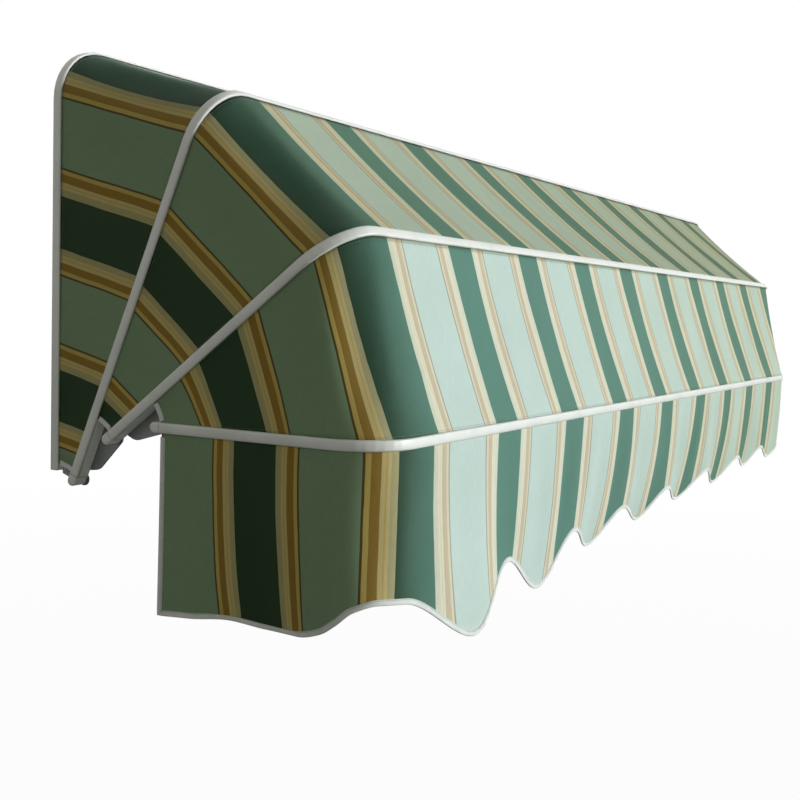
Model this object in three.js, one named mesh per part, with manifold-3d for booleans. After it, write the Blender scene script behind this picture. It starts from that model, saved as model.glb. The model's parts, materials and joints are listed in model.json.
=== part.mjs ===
// A folding window awning: a wall bow and three hinged bows of bent aluminium profile, striped cloth
// panels held in the grooves of the bows, and a valance with a wavy hem.
// Millimetres, +Z up. The wall is the plane y = 0 and the awning stands out along -Y.
// The origin is on the wall, at the middle of the back of the wall bow's top bar.

import * as THREE from "three";
import { mergeVertices } from "three/addons/utils/BufferGeometryUtils.js";
import Module from "manifold-3d";

const wasm = await Module();
wasm.setup();

// Overall sizes.
const AWNING_WIDTH = 2292;
const CORNER_RADIUS = 78;
const FIT_GAP = 0.3;

// Aluminium profile of the bows: the outer face is at depth 0.
const PROFILE_WIDTH = 15;
const PROFILE_DEPTH = 24;
const PROFILE_CHAMFER = 1;
const PROFILE_ROUNDING = 2.8;
const PROFILE_WALL = 1.6;
const CHAMBER_TOP = 8.6;
const GROOVE_RADIUS = 2.5;
const GROOVE_OFFSET = 4.2;
const GROOVE_DEPTH = 4.3;
const GROOVE_MOUTH_TOP = 3.3;
const GROOVE_MOUTH_BOTTOM = 6.7;

// Bows: opening angle from the wall, and length from the pivot to the outer face of the top bar.
const WALL_BOW_LENGTH = 609;
const BOW_1_LENGTH = 597;
const BOW_2_LENGTH = 490.5;
const FRONT_BOW_LENGTH = 366;
const HINGED_BOWS = [
  { name: "bow_1", opening: 23.6, length: BOW_1_LENGTH },
  { name: "bow_2", opening: 52.8, length: BOW_2_LENGTH },
  { name: "front_bow", opening: 89.2, length: FRONT_BOW_LENGTH },
];

// Pivot chain: the first pivot from the wall bow's lower end, and each next one from the leg before it.
const FIRST_PIVOT_FORWARD = 35.8;
const FIRST_PIVOT_DROP = 12.1;
const PIVOT_STEP_ALONG = 87.6;
const PIVOT_STEP_FORWARD = 34.8;

// Hinge pieces.
const EYE_CAP_THICKNESS = 5;
const EYE_ROUNDING = 2.4;
const EYE_TONGUE_END = 24;
const PROFILE_START = 9;
const PIN_RADIUS = 4;
const PIN_HEAD_RADIUS = 7;
const PIN_HEAD_THICKNESS = 2.7;
const WASHER_RADIUS = 6.6;
const WASHER_THICKNESS = 1.2;
const PLATE_THICKNESS = 3;
const PLATE_END_RADIUS = 13;
const PLATE_PIVOT_RADIUS = 9.5;
const PLATE_BELLY_RADIUS = 21;
const PLATE_BELLY_ALONG = 42;
const PLATE_BELLY_FORWARD = 5;
const PLATE_RIVETS_ALONG = [30, 84];
const RIVET_RADIUS = 2.4;
const RIVET_HEAD_RADIUS = 5;
const RIVET_HEAD_THICKNESS = 1.8;
const RIVET_TAIL_RADIUS = 3.4;
const RIVET_TAIL_LENGTH = 3;

// Wall brackets and clips.
const BRACKET_TOP = 62;
const BRACKET_BOTTOM = -8;
const BRACKET_RIVET_HEIGHT = 30;
const BRACKET_RIVET_FORWARD = 2;
const FLANGE_WIDTH = 34;
const FLANGE_THICKNESS = 4;
const FLANGE_SCREW_HEIGHTS = [8, 46];
const SCREW_RADIUS = 2.5;
const SCREW_HEAD_RADIUS = 5;
const SCREW_HEAD_THICKNESS = 3;
const CLIP_WIDTH = 40;
const CLIP_THICKNESS = 2.5;
const CLIP_WALL_HEIGHT = 34;
const CLIP_LIP_HEIGHT = 9;
const CLIP_POSITIONS = { left: -760, centre: 0, right: 760 };

// Cloth.
const CLOTH_THICKNESS = 1;
const BEAD_RADIUS = 1.8;
const BEAD_ARC = 1.9;
const CLOTH_START_WALL_LEG = 10;
const CLOTH_START_CARRYING_LEG = 105;
const CLOTH_START_HINGED_LEG = 12;
const BINDING_DEPTH = 6;
const BINDING_THICKNESS = 0.9;
const BINDING_END_SLANT = 1.25;

// Valance: depth below the bow's groove, and how its cloth swings and waves at the hem.
const VALANCE_SIDE_DEPTH = 250;
const VALANCE_EDGE_DEPTH = 12;
const VALANCE_FRONT_DEPTH = 210;
const HEM_WAVE_HEIGHT = 27;
const HEM_WAVES = 8;
const FIRST_NOTCH_INSET = 94;
const HEM_SWING = 2;
const HEM_WAVE_SWING = 12;
const SIDE_WAVE_SWING = 8;
const SIDE_WAVE_LENGTH = 190;

const CORNER_STEPS = 10;
const LEG_STEPS = 6;
const WAVE_STEPS = 10;
const VALANCE_ROWS = 3;
const ROUND_SEGMENTS = 20;
const SMALL_ROUND_SEGMENTS = 14;

const HALF_WIDTH = AWNING_WIDTH / 2;
const HALF_PROFILE = PROFILE_WIDTH / 2;
const PLATE_INNER_X = PROFILE_DEPTH + FIT_GAP;
const PLATE_OUTER_X = PLATE_INNER_X + PLATE_THICKNESS;
const BORE_RADIUS = PIN_RADIUS + FIT_GAP;

const FINISHES = {
  white: { color: 0xeef2ec, roughness: 0.35, metalness: 0.1 },
  cast: { color: 0x8d9290, roughness: 0.5, metalness: 0.6 },
  steel: { color: 0xb9bcbd, roughness: 0.3, metalness: 0.9 },
  cloth: { color: 0x8fae9d, roughness: 0.9, metalness: 0 },
  binding: { color: 0xe9ece6, roughness: 0.8, metalness: 0 },
};

const group = new THREE.Group();

/** Adds one named mesh with a material of its own. */
function addPiece(name, geometry, finish) {
  const mesh = new THREE.Mesh(geometry, new THREE.MeshStandardMaterial(FINISHES[finish]));
  mesh.name = name;
  group.add(mesh);
}

/** Builds a closed geometry from points and triangles, and turns it to face outwards. */
function closedGeometry(points, triangles) {
  let volume = 0;
  for (const [a, b, c] of triangles) {
    volume += points[a].dot(new THREE.Vector3().crossVectors(points[b], points[c]));
  }
  const faces = volume < 0 ? triangles.map(([a, b, c]) => [a, c, b]) : triangles;
  const geometry = new THREE.BufferGeometry();
  geometry.setAttribute("position", new THREE.Float32BufferAttribute(points.flatMap((p) => p.toArray()), 3));
  geometry.setIndex(faces.flat());
  return geometry;
}

/**
 * Joins equal rings of points into a closed body. The section gives the loops that cap both ends. Where a
 * thin section runs back along its other face, quads are split the other way, so that both faces of a
 * twisted sheet are split alike and don't meet.
 */
function loft(rings, contour, holes = [], runsBack = () => false) {
  const loops = [contour, ...holes];
  const size = loops.reduce((sum, loop) => sum + loop.length, 0);
  const triangles = [];
  for (let r = 0; r + 1 < rings.length; r++) {
    let start = r * size;
    for (const loop of loops) {
      for (let k = 0; k < loop.length; k++) {
        const a = start + k;
        const b = start + ((k + 1) % loop.length);
        if (runsBack(loop[k], loop[(k + 1) % loop.length])) {
          triangles.push([a, b, a + size], [b, b + size, a + size]);
        } else {
          triangles.push([a, b, b + size], [a, b + size, a + size]);
        }
      }
      start += loop.length;
    }
  }
  const last = (rings.length - 1) * size;
  const clockwise = THREE.ShapeUtils.isClockWise(contour);
  for (const [a, ...others] of THREE.ShapeUtils.triangulateShape(contour, holes)) {
    const [b, c] = clockwise ? others.reverse() : others;
    triangles.push([c, b, a], [a + last, b + last, c + last]);
  }
  return closedGeometry(rings.flat(), triangles);
}

/** Turns a closed geometry into a manifold solid. */
function solidOf(geometry) {
  const bare = new THREE.BufferGeometry();
  bare.setAttribute("position", geometry.getAttribute("position").clone());
  if (geometry.index) bare.setIndex(geometry.index.clone());
  const merged = mergeVertices(bare, 1e-4);
  const mesh = new wasm.Mesh({
    numProp: 3,
    vertProperties: new Float32Array(merged.getAttribute("position").array),
    triVerts: new Uint32Array(merged.index.array),
  });
  return new wasm.Manifold(mesh);
}

/** Turns a manifold solid back into a geometry. */
function geometryOf(solid) {
  const mesh = solid.getMesh();
  const geometry = new THREE.BufferGeometry();
  geometry.setAttribute("position", new THREE.Float32BufferAttribute(mesh.vertProperties, 3));
  geometry.setIndex(Array.from(mesh.triVerts));
  return geometry;
}

/** Cuts tool geometries out of a body. */
function cut(body, tools) {
  return geometryOf(tools.reduce((solid, tool) => solid.subtract(solidOf(tool)), solidOf(body)));
}

/** Convex outline round circles given as [along, forward, radius], for plates and eyes. */
function hullOfCircles(circles, segments = 28) {
  const points = circles.flatMap(([x, y, radius]) => {
    const count = radius > 0 ? segments : 1;
    return Array.from({ length: count }, (_, k) => {
      const angle = (2 * Math.PI * k) / segments;
      return new THREE.Vector2(x + radius * Math.cos(angle), y + radius * Math.sin(angle));
    });
  });
  points.sort((p, q) => p.x - q.x || p.y - q.y);
  const chain = (list) => {
    const kept = [];
    for (const p of list) {
      while (kept.length > 1) {
        const [o, a] = [kept[kept.length - 2], kept[kept.length - 1]];
        if ((a.x - o.x) * (p.y - o.y) - (a.y - o.y) * (p.x - o.x) > 1e-6) break;
        kept.pop();
      }
      kept.push(p);
    }
    return kept.slice(0, -1);
  };
  return [...chain(points), ...chain([...points].reverse())];
}

/** Circle of points, for holes and round outlines. */
function circle(x, y, radius, segments = ROUND_SEGMENTS) {
  return Array.from({ length: segments }, (_, k) => {
    const angle = (2 * Math.PI * k) / segments;
    return new THREE.Vector2(x + radius * Math.cos(angle), y + radius * Math.sin(angle));
  });
}

/**
 * Place of a bow: its pivot, the direction up its leg and the direction forward from it, in (y, z).
 * Points are given by side (-1 left, 1 right), distance inwards from the outer face, distance along
 * the leg and distance forward from the leg's middle.
 */
class BowFrame {
  constructor(pivotY, pivotZ, openingDegrees, length) {
    const angle = THREE.MathUtils.degToRad(openingDegrees);
    this.pivot = new THREE.Vector3(0, pivotY, pivotZ);
    this.up = new THREE.Vector3(0, -Math.sin(angle), Math.cos(angle));
    this.forward = new THREE.Vector3(0, -Math.cos(angle), -Math.sin(angle));
    this.length = length;
  }

  /** A point beside the leg. */
  at(side, inset, along, forward = 0) {
    return this.pivot
      .clone()
      .addScaledVector(this.up, along)
      .addScaledVector(this.forward, forward)
      .setX(side * (HALF_WIDTH - inset));
  }

  /** Stations round the bow from the left leg's start to the right leg's, each with its outward way. */
  path(start, legSteps = 1, barSteps = 1) {
    const stations = [];
    const bend = this.length - CORNER_RADIUS;
    const leg = (k) => start + ((bend - start) * k) / legSteps;
    for (const side of [-1, 1]) {
      const half = [];
      for (let k = 0; k < legSteps; k++) half.push({ side, along: leg(k), inset: 0, angle: 0 });
      for (let k = 0; k <= CORNER_STEPS; k++) {
        const angle = (Math.PI / 2) * (k / CORNER_STEPS);
        const along = bend + CORNER_RADIUS * Math.sin(angle);
        half.push({ side, along, inset: CORNER_RADIUS * (1 - Math.cos(angle)), angle });
      }
      if (side < 0) {
        stations.push(...half);
        const barHalf = HALF_WIDTH - CORNER_RADIUS;
        for (let k = 1; k < barSteps; k++) {
          const inset = HALF_WIDTH + barHalf * ((2 * k) / barSteps - 1);
          stations.push({ side: -1, along: this.length, inset, angle: Math.PI / 2 });
        }
      } else {
        stations.push(...half.reverse());
      }
    }
    return stations;
  }

  /** The point of a station at a depth below the outer face and a distance forward. */
  onPath(station, depth, forward) {
    const inset = station.inset + depth * Math.cos(station.angle);
    const along = station.along - depth * Math.sin(station.angle);
    return this.at(station.side, inset, along, forward);
  }
}

/** Wall bow and hinged bows, each hinged on the one before it. */
function bowFrames() {
  const wallMiddleY = -HALF_PROFILE;
  const barMiddle = WALL_BOW_LENGTH - PROFILE_DEPTH / 2;
  const wall = new BowFrame(wallMiddleY, -barMiddle, 0, WALL_BOW_LENGTH);
  const frames = [wall];
  let pivot = wall.at(0, 0, -FIRST_PIVOT_DROP, FIRST_PIVOT_FORWARD);
  for (const bow of HINGED_BOWS) {
    const frame = new BowFrame(pivot.y, pivot.z, bow.opening, bow.length);
    frames.push(frame);
    pivot = frame.at(0, 0, PIVOT_STEP_ALONG, PIVOT_STEP_FORWARD);
  }
  return frames;
}

/** Section of the bow profile: x forward, y inwards from the outer face, with a hollow chamber. */
function profileSection() {
  const grooveMouth = Math.asin((GROOVE_DEPTH - GROOVE_MOUTH_TOP) / GROOVE_RADIUS);
  const grooveFloor = Math.asin((GROOVE_MOUTH_BOTTOM - GROOVE_DEPTH) / GROOVE_RADIUS);
  const arcSteps = 7;
  const edge = [0, 0.25, 0.5, 0.75, 1].map((k) => (Math.PI / 2) * k);
  const half = edge.map((angle) => [
    HALF_PROFILE - PROFILE_ROUNDING * (1 - Math.sin(angle)),
    PROFILE_ROUNDING * (1 - Math.cos(angle)),
  ]);
  half.push([HALF_PROFILE, GROOVE_MOUTH_TOP]);
  for (let k = 0; k <= arcSteps; k++) {
    const sweep = 2 * Math.PI - grooveMouth - grooveFloor;
    const angle = -grooveMouth - (sweep * k) / arcSteps;
    half.push([
      GROOVE_OFFSET + GROOVE_RADIUS * Math.cos(angle),
      GROOVE_DEPTH + GROOVE_RADIUS * Math.sin(angle),
    ]);
  }
  half.push(
    [HALF_PROFILE, GROOVE_MOUTH_BOTTOM],
    [HALF_PROFILE, PROFILE_DEPTH - PROFILE_CHAMFER],
    [HALF_PROFILE - PROFILE_CHAMFER, PROFILE_DEPTH],
  );
  const mirrored = half.map(([x, y]) => [-x, y]).reverse();
  const contour = [...half, ...mirrored].map(([x, y]) => new THREE.Vector2(x, y));
  const inner = HALF_PROFILE - PROFILE_WALL;
  const chamber = [
    [-inner, CHAMBER_TOP],
    [-inner, PROFILE_DEPTH - PROFILE_WALL],
    [inner, PROFILE_DEPTH - PROFILE_WALL],
    [inner, CHAMBER_TOP],
  ].map(([x, y]) => new THREE.Vector2(x, y));
  return { contour, chamber };
}

/** Extrudes an outline drawn in a bow's (along, forward) plane between two insets. */
function plateInBowPlane(frame, side, outline, holes, insetFrom, insetTo) {
  const contour = THREE.ShapeUtils.isClockWise(outline) ? [...outline].reverse() : outline;
  const loops = holes.map((hole) => [...hole].reverse());
  const place = (inset) => [contour, ...loops].flat().map((p) => frame.at(side, inset, p.x, p.y));
  return loft([place(insetFrom), place(insetTo)], contour, loops);
}

/** Turned piece on an axis along X through a point of a bow's plane, as [inset, radius] steps. */
function turned(frame, side, along, forward, steps, segments) {
  const centre = (inset) => frame.at(side, inset, along, forward);
  const points = [centre(steps[0][0])];
  for (const [inset, radius] of steps) {
    points.push(...circle(along, forward, radius, segments).map((p) => frame.at(side, inset, p.x, p.y)));
  }
  points.push(centre(steps[steps.length - 1][0]));
  const triangles = [];
  const end = points.length - 1;
  for (let k = 0; k < segments; k++) {
    const next = (k + 1) % segments;
    triangles.push([0, 1 + next, 1 + k]);
    for (let r = 0; r + 1 < steps.length; r++) {
      const low = 1 + r * segments;
      const high = low + segments;
      triangles.push([low + k, low + next, high + next], [low + k, high + next, high + k]);
    }
    const last = 1 + (steps.length - 1) * segments;
    triangles.push([end, last + k, last + next]);
  }
  return closedGeometry(points, triangles);
}

/** Round hole through a leg's inner wall, for a rivet. */
function rivetHole(frame, side, along, forward) {
  const radius = RIVET_RADIUS + FIT_GAP;
  const from = PROFILE_DEPTH - 2 * PROFILE_WALL;
  const steps = [[from, radius], [PROFILE_DEPTH + 1, radius]];
  return turned(frame, side, along, forward, steps, SMALL_ROUND_SEGMENTS);
}

/** A bent bow with its rivet holes. */
function buildBow(name, frame, start, rivets) {
  const { contour, chamber } = profileSection();
  const rings = frame.path(start).map((station) =>
    [...contour, ...chamber].map((p) => frame.onPath(station, p.y, p.x)),
  );
  const bow = loft(rings, contour, [chamber]);
  const holes = [-1, 1].flatMap((side) => rivets.map((place) => rivetHole(frame, side, ...place)));
  addPiece(name, holes.length ? cut(bow, holes) : bow, "white");
}

/** End eye: a rounded end for the profile, closed at its outer face, with a tongue in the chamber. */
function buildEye(name, frame, side) {
  const shoulder = PROFILE_START - FIT_GAP;
  const outline = hullOfCircles([
    [0, 0, HALF_PROFILE], [shoulder, HALF_PROFILE, 0], [shoulder, -HALF_PROFILE, 0],
  ]);
  const inner = PROFILE_DEPTH - PROFILE_WALL;
  const shrunk = (inset, reduction) => {
    const share = 1 - reduction / HALF_PROFILE;
    return outline.map((p) => frame.at(side, inset, p.x > 0 ? p.x : p.x * share, p.y * share));
  };
  const cap = loft(
    [
      shrunk(0, EYE_ROUNDING),
      shrunk(EYE_ROUNDING * 0.3, EYE_ROUNDING * 0.3),
      shrunk(EYE_ROUNDING, 0),
      shrunk(EYE_CAP_THICKNESS, 0),
    ],
    outline,
  );
  const bored = plateInBowPlane(
    frame, side, outline, [circle(0, 0, BORE_RADIUS)], EYE_CAP_THICKNESS, inner + FIT_GAP / 2,
  );
  const tongueHalf = HALF_PROFILE - PROFILE_WALL - FIT_GAP;
  const tongueStart = shoulder - FIT_GAP;
  const tongueOutline = [
    [tongueStart, -tongueHalf],
    [EYE_TONGUE_END, -tongueHalf],
    [EYE_TONGUE_END, tongueHalf],
    [tongueStart, tongueHalf],
  ].map(([x, y]) => new THREE.Vector2(x, y));
  const tongue = plateInBowPlane(frame, side, tongueOutline, [], CHAMBER_TOP + FIT_GAP, inner - FIT_GAP);
  addPiece(name, geometryOf(solidOf(cap).add(solidOf(bored)).add(solidOf(tongue))), "white");
}

/** Pin in the eye's blind bore, with a head behind the plate. */
function buildPin(name, frame, side) {
  const boreEnd = EYE_CAP_THICKNESS + FIT_GAP;
  const behindPlate = PLATE_OUTER_X + FIT_GAP;
  const steps = [
    [boreEnd, PIN_RADIUS * 0.8],
    [boreEnd + PIN_RADIUS / 4, PIN_RADIUS],
    [behindPlate, PIN_RADIUS],
    [behindPlate, PIN_HEAD_RADIUS],
    [behindPlate + PIN_HEAD_THICKNESS, PIN_HEAD_RADIUS * 0.75],
  ];
  addPiece(name, turned(frame, side, 0, 0, steps, SMALL_ROUND_SEGMENTS), "steel");
}

/** Washer between the eye and the plate. */
function buildWasher(name, frame, side) {
  const outer = PLATE_INNER_X - FIT_GAP / 2;
  const outline = circle(0, 0, WASHER_RADIUS);
  const washer = plateInBowPlane(
    frame, side, outline, [circle(0, 0, BORE_RADIUS)], outer - WASHER_THICKNESS, outer,
  );
  addPiece(name, washer, "steel");
}

/** Blind rivet from a plate into the leg's hollow chamber. */
function buildRivet(name, frame, side, along, forward) {
  const head = PLATE_OUTER_X + FIT_GAP;
  const wallInside = PROFILE_DEPTH - PROFILE_WALL - FIT_GAP;
  const steps = [
    [wallInside - RIVET_TAIL_LENGTH, RIVET_TAIL_RADIUS * 0.7],
    [wallInside, RIVET_TAIL_RADIUS],
    [wallInside, RIVET_RADIUS],
    [head, RIVET_RADIUS],
    [head, RIVET_HEAD_RADIUS],
    [head + RIVET_HEAD_THICKNESS, RIVET_HEAD_RADIUS * 0.6],
  ];
  addPiece(name, turned(frame, side, along, forward, steps, SMALL_ROUND_SEGMENTS), "steel");
}

/** Hinge plate on a leg, which carries the next bow's pivot. */
function buildHingePlate(name, frame, side) {
  const [low, high] = PLATE_RIVETS_ALONG;
  const outline = hullOfCircles([
    [low, 0, PLATE_END_RADIUS],
    [high, 0, PLATE_END_RADIUS],
    [PLATE_BELLY_ALONG, PLATE_BELLY_FORWARD, PLATE_BELLY_RADIUS],
    [PIVOT_STEP_ALONG, PIVOT_STEP_FORWARD, PLATE_PIVOT_RADIUS],
  ]);
  const holes = [
    circle(PIVOT_STEP_ALONG, PIVOT_STEP_FORWARD, BORE_RADIUS),
    ...PLATE_RIVETS_ALONG.map((along) => circle(along, 0, RIVET_RADIUS + FIT_GAP, SMALL_ROUND_SEGMENTS)),
  ];
  addPiece(name, plateInBowPlane(frame, side, outline, holes, PLATE_INNER_X, PLATE_OUTER_X), "cast");
  PLATE_RIVETS_ALONG.forEach((along, k) => buildRivet(`${name}_rivet_${k + 1}`, frame, side, along, 0));
}

/** Screw with its head on a face at a distance from the wall, cut off at the wall. */
function buildWallScrew(name, x, z, faceY) {
  const under = faceY - FIT_GAP;
  const geometry = new THREE.LatheGeometry(
    [
      [0, 0],
      [SCREW_RADIUS, 0],
      [SCREW_RADIUS, -under],
      [SCREW_HEAD_RADIUS, -under],
      [SCREW_HEAD_RADIUS * 0.85, -under + SCREW_HEAD_THICKNESS * 0.6],
      [SCREW_HEAD_RADIUS * 0.45, -under + SCREW_HEAD_THICKNESS],
      [0, -under + SCREW_HEAD_THICKNESS],
    ].map(([radius, height]) => new THREE.Vector2(radius, height)),
    SMALL_ROUND_SEGMENTS,
  );
  geometry.rotateX(Math.PI);
  geometry.translate(x, 0, z);
  addPiece(name, geometry, "steel");
}

/** Lower wall bracket: a plate beside the wall bow's leg with a flange on the wall. */
function buildWallBracket(name, wall, side) {
  const back = -HALF_PROFILE;
  const lobe = Array.from({ length: ROUND_SEGMENTS / 2 + 1 }, (_, k) => {
    const angle = Math.PI * (k / (ROUND_SEGMENTS / 2) - 0.5);
    return new THREE.Vector2(
      -FIRST_PIVOT_DROP + PLATE_PIVOT_RADIUS * Math.sin(angle),
      FIRST_PIVOT_FORWARD + PLATE_PIVOT_RADIUS * Math.cos(angle),
    );
  });
  const outline = [
    new THREE.Vector2(BRACKET_TOP, back),
    new THREE.Vector2(BRACKET_BOTTOM, back),
    ...lobe,
    new THREE.Vector2(0, HALF_PROFILE),
    new THREE.Vector2(BRACKET_TOP, HALF_PROFILE),
  ];
  const holes = [
    circle(-FIRST_PIVOT_DROP, FIRST_PIVOT_FORWARD, BORE_RADIUS),
    circle(BRACKET_RIVET_HEIGHT, BRACKET_RIVET_FORWARD, RIVET_RADIUS + FIT_GAP, SMALL_ROUND_SEGMENTS),
  ];
  const plate = plateInBowPlane(wall, side, outline, holes, PLATE_INNER_X, PLATE_OUTER_X);
  const flangeLength = FLANGE_WIDTH + PLATE_THICKNESS / 2;
  const flange = new THREE.BoxGeometry(flangeLength, FLANGE_THICKNESS, BRACKET_TOP - BRACKET_BOTTOM);
  const flangeX = side * (HALF_WIDTH - PLATE_OUTER_X + PLATE_THICKNESS / 2 - flangeLength / 2);
  const middle = wall.at(0, 0, (BRACKET_TOP + BRACKET_BOTTOM) / 2).z;
  flange.translate(flangeX, -FLANGE_THICKNESS / 2, middle);
  const screwX = side * (HALF_WIDTH - PLATE_OUTER_X - FLANGE_WIDTH / 2);
  const screwZs = FLANGE_SCREW_HEIGHTS.map((height) => wall.at(0, 0, height).z);
  const holeTools = screwZs.map((z) => {
    const radius = SCREW_RADIUS + FIT_GAP;
    const tool = new THREE.CylinderGeometry(radius, radius, 4 * FLANGE_THICKNESS, SMALL_ROUND_SEGMENTS);
    return tool.translate(screwX, 0, z);
  });
  const body = geometryOf(solidOf(plate).add(solidOf(flange)));
  addPiece(name, cut(body, holeTools), "cast");
  buildRivet(`${name}_rivet`, wall, side, BRACKET_RIVET_HEIGHT, BRACKET_RIVET_FORWARD);
  screwZs.forEach((z, k) => buildWallScrew(`${name}_screw_${k + 1}`, screwX, z, -FLANGE_THICKNESS));
}

/** Saddle clip that holds the wall bow's top bar against the wall, with its screw. */
function buildTopClip(name, x) {
  const barBottom = -PROFILE_DEPTH / 2;
  const shelfTop = barBottom - FIT_GAP;
  const shelfBottom = shelfTop - CLIP_THICKNESS;
  const lipInner = -PROFILE_WIDTH - FIT_GAP;
  const lipOuter = lipInner - CLIP_THICKNESS;
  const outline = [
    [0, shelfTop],
    [0, shelfBottom - CLIP_WALL_HEIGHT],
    [-CLIP_THICKNESS, shelfBottom - CLIP_WALL_HEIGHT],
    [-CLIP_THICKNESS, shelfBottom],
    [lipOuter, shelfBottom],
    [lipOuter, shelfTop + CLIP_LIP_HEIGHT],
    [lipInner, shelfTop + CLIP_LIP_HEIGHT],
    [lipInner, shelfTop],
  ].map(([y, z]) => new THREE.Vector2(y, z));
  const ring = (offset) => outline.map((p) => new THREE.Vector3(x + offset, p.x, p.y));
  const clip = loft([ring(-CLIP_WIDTH / 2), ring(CLIP_WIDTH / 2)], outline);
  const screwZ = shelfBottom - CLIP_WALL_HEIGHT * 0.6;
  const holeRadius = SCREW_RADIUS + FIT_GAP;
  const hole = new THREE.CylinderGeometry(holeRadius, holeRadius, 4 * CLIP_THICKNESS, SMALL_ROUND_SEGMENTS);
  addPiece(name, cut(clip, [hole.translate(x, 0, screwZ)]), "cast");
  buildWallScrew(`${name}_screw`, x, screwZ, -CLIP_THICKNESS);
}

/** Ring of a cloth strip from one beaded edge to the other, and its flat section for the caps. */
function beadedStrip(from, to, normal) {
  const way = to.clone().sub(from);
  const length = way.length();
  way.normalize();
  const half = CLOTH_THICKNESS / 2;
  const neck = Math.sqrt(BEAD_RADIUS ** 2 - half ** 2);
  const bead = (centre, sign) =>
    [-1, -0.5, 0, 0.5, 1].map((k) => {
      const angle = k * BEAD_ARC;
      const reach = sign * BEAD_RADIUS;
      return new THREE.Vector2(centre - reach * Math.cos(angle), reach * Math.sin(angle));
    });
  const section = [
    ...bead(0, 1).reverse(),
    new THREE.Vector2(neck, -half),
    new THREE.Vector2(length - neck, -half),
    ...bead(length, -1).reverse(),
    new THREE.Vector2(length - neck, half),
    new THREE.Vector2(neck, half),
  ];
  const ring = section.map((p) => from.clone().addScaledVector(way, p.x).addScaledVector(normal, p.y));
  return { ring, section };
}

/** Binding folded over a cloth edge: points on the edge with the cloth's normal and the way outwards. */
function buildBinding(name, edge) {
  const slot = CLOTH_THICKNESS / 2 + FIT_GAP;
  const outer = slot + BINDING_THICKNESS;
  const section = [
    [slot, -BINDING_DEPTH],
    [slot, FIT_GAP],
    [-slot, FIT_GAP],
    [-slot, -BINDING_DEPTH],
    [-outer, -BINDING_DEPTH],
    [-outer, FIT_GAP],
    [0, FIT_GAP + outer],
    [outer, FIT_GAP],
    [outer, -BINDING_DEPTH],
  ].map(([x, y]) => new THREE.Vector2(x, y));
  const rings = edge.map(({ point, normal, outward }) =>
    section.map((p) => point.clone().addScaledVector(normal, p.x).addScaledVector(outward, p.y)),
  );
  addPiece(name, loft(rings, section, [], (p, q) => q.y < p.y), "binding");
}

/** Cloth panel between two bows, and the bindings of its two free lower edges. */
function buildPanel(name, from, to, startFrom, startTo) {
  const pathFrom = from.path(startFrom, LEG_STEPS, 2);
  const pathTo = to.path(startTo, LEG_STEPS, 2);
  const strips = pathFrom.map((station, k) => {
    const a = from.onPath(station, GROOVE_DEPTH, GROOVE_OFFSET);
    const b = to.onPath(pathTo[k], GROOVE_DEPTH, -GROOVE_OFFSET);
    return { a, b };
  });
  const normals = strips.map(({ a, b }, k) => {
    const before = strips[Math.max(k - 1, 0)];
    const after = strips[Math.min(k + 1, strips.length - 1)];
    const tangent = after.a.clone().add(after.b).sub(before.a).sub(before.b);
    return new THREE.Vector3().crossVectors(tangent, b.clone().sub(a)).normalize();
  });
  const built = strips.map(({ a, b }, k) => beadedStrip(a, b, normals[k]));
  const rings = built.map((strip) => strip.ring);
  addPiece(name, loft(rings, built[0].section, [], (p, q) => q.x < p.x), "cloth");
  [[0, "left"], [strips.length - 1, "right"]].forEach(([k, side]) => {
    const { a, b } = strips[k];
    const way = b.clone().sub(a).normalize();
    const inset = (HALF_PROFILE - GROOVE_OFFSET + 3 * FIT_GAP) * BINDING_END_SLANT;
    const clear = (end, sign) => end.clone().addScaledVector(way, sign * inset);
    const down = new THREE.Vector3().crossVectors(way, normals[k]).normalize();
    if (down.z > 0) down.negate();
    const edge = [clear(a, 1), clear(b, -1)].map((point) => ({ point, normal: normals[k], outward: down }));
    buildBinding(`${name}_binding_${side}`, edge);
  });
}

/** How far the valance reaches below its groove, and how far its hem swings inwards, along the bow. */
function hemShape(station, frame) {
  const x = station.side * (HALF_WIDTH - station.inset);
  const notchSpan = AWNING_WIDTH - 2 * FIRST_NOTCH_INSET;
  const phase = (2 * Math.PI * HEM_WAVES * (x + HALF_WIDTH - FIRST_NOTCH_INSET)) / notchSpan;
  const beyondLastNotch = Math.abs(x) > HALF_WIDTH - FIRST_NOTCH_INSET;
  const fromCorner = frame.length - station.along;
  const notchDepth = VALANCE_FRONT_DEPTH - HEM_WAVE_HEIGHT;
  if (!beyondLastNotch) {
    return {
      depth: VALANCE_FRONT_DEPTH - HEM_WAVE_HEIGHT * Math.cos(phase),
      swing: HEM_SWING - HEM_WAVE_SWING * Math.cos(phase),
    };
  }
  const rise = THREE.MathUtils.smoothstep(fromCorner, 0, CORNER_RADIUS * 1.5);
  const sideDepth = THREE.MathUtils.lerp(
    VALANCE_SIDE_DEPTH - VALANCE_EDGE_DEPTH, VALANCE_SIDE_DEPTH, fromCorner / frame.length,
  );
  const sideSwing = SIDE_WAVE_SWING * Math.sin((2 * Math.PI * fromCorner) / SIDE_WAVE_LENGTH);
  return {
    depth: THREE.MathUtils.lerp(notchDepth, sideDepth, rise),
    swing: THREE.MathUtils.lerp(HEM_SWING - HEM_WAVE_SWING, sideSwing, rise),
  };
}

/** Heights of the valance's rows from the groove (0) down to the binding's upper edge. */
function valanceRows() {
  const rows = Array.from({ length: VALANCE_ROWS }, (_, k) => k / VALANCE_ROWS);
  return [...rows, 1 - (1.5 * BINDING_DEPTH) / VALANCE_FRONT_DEPTH];
}

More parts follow.
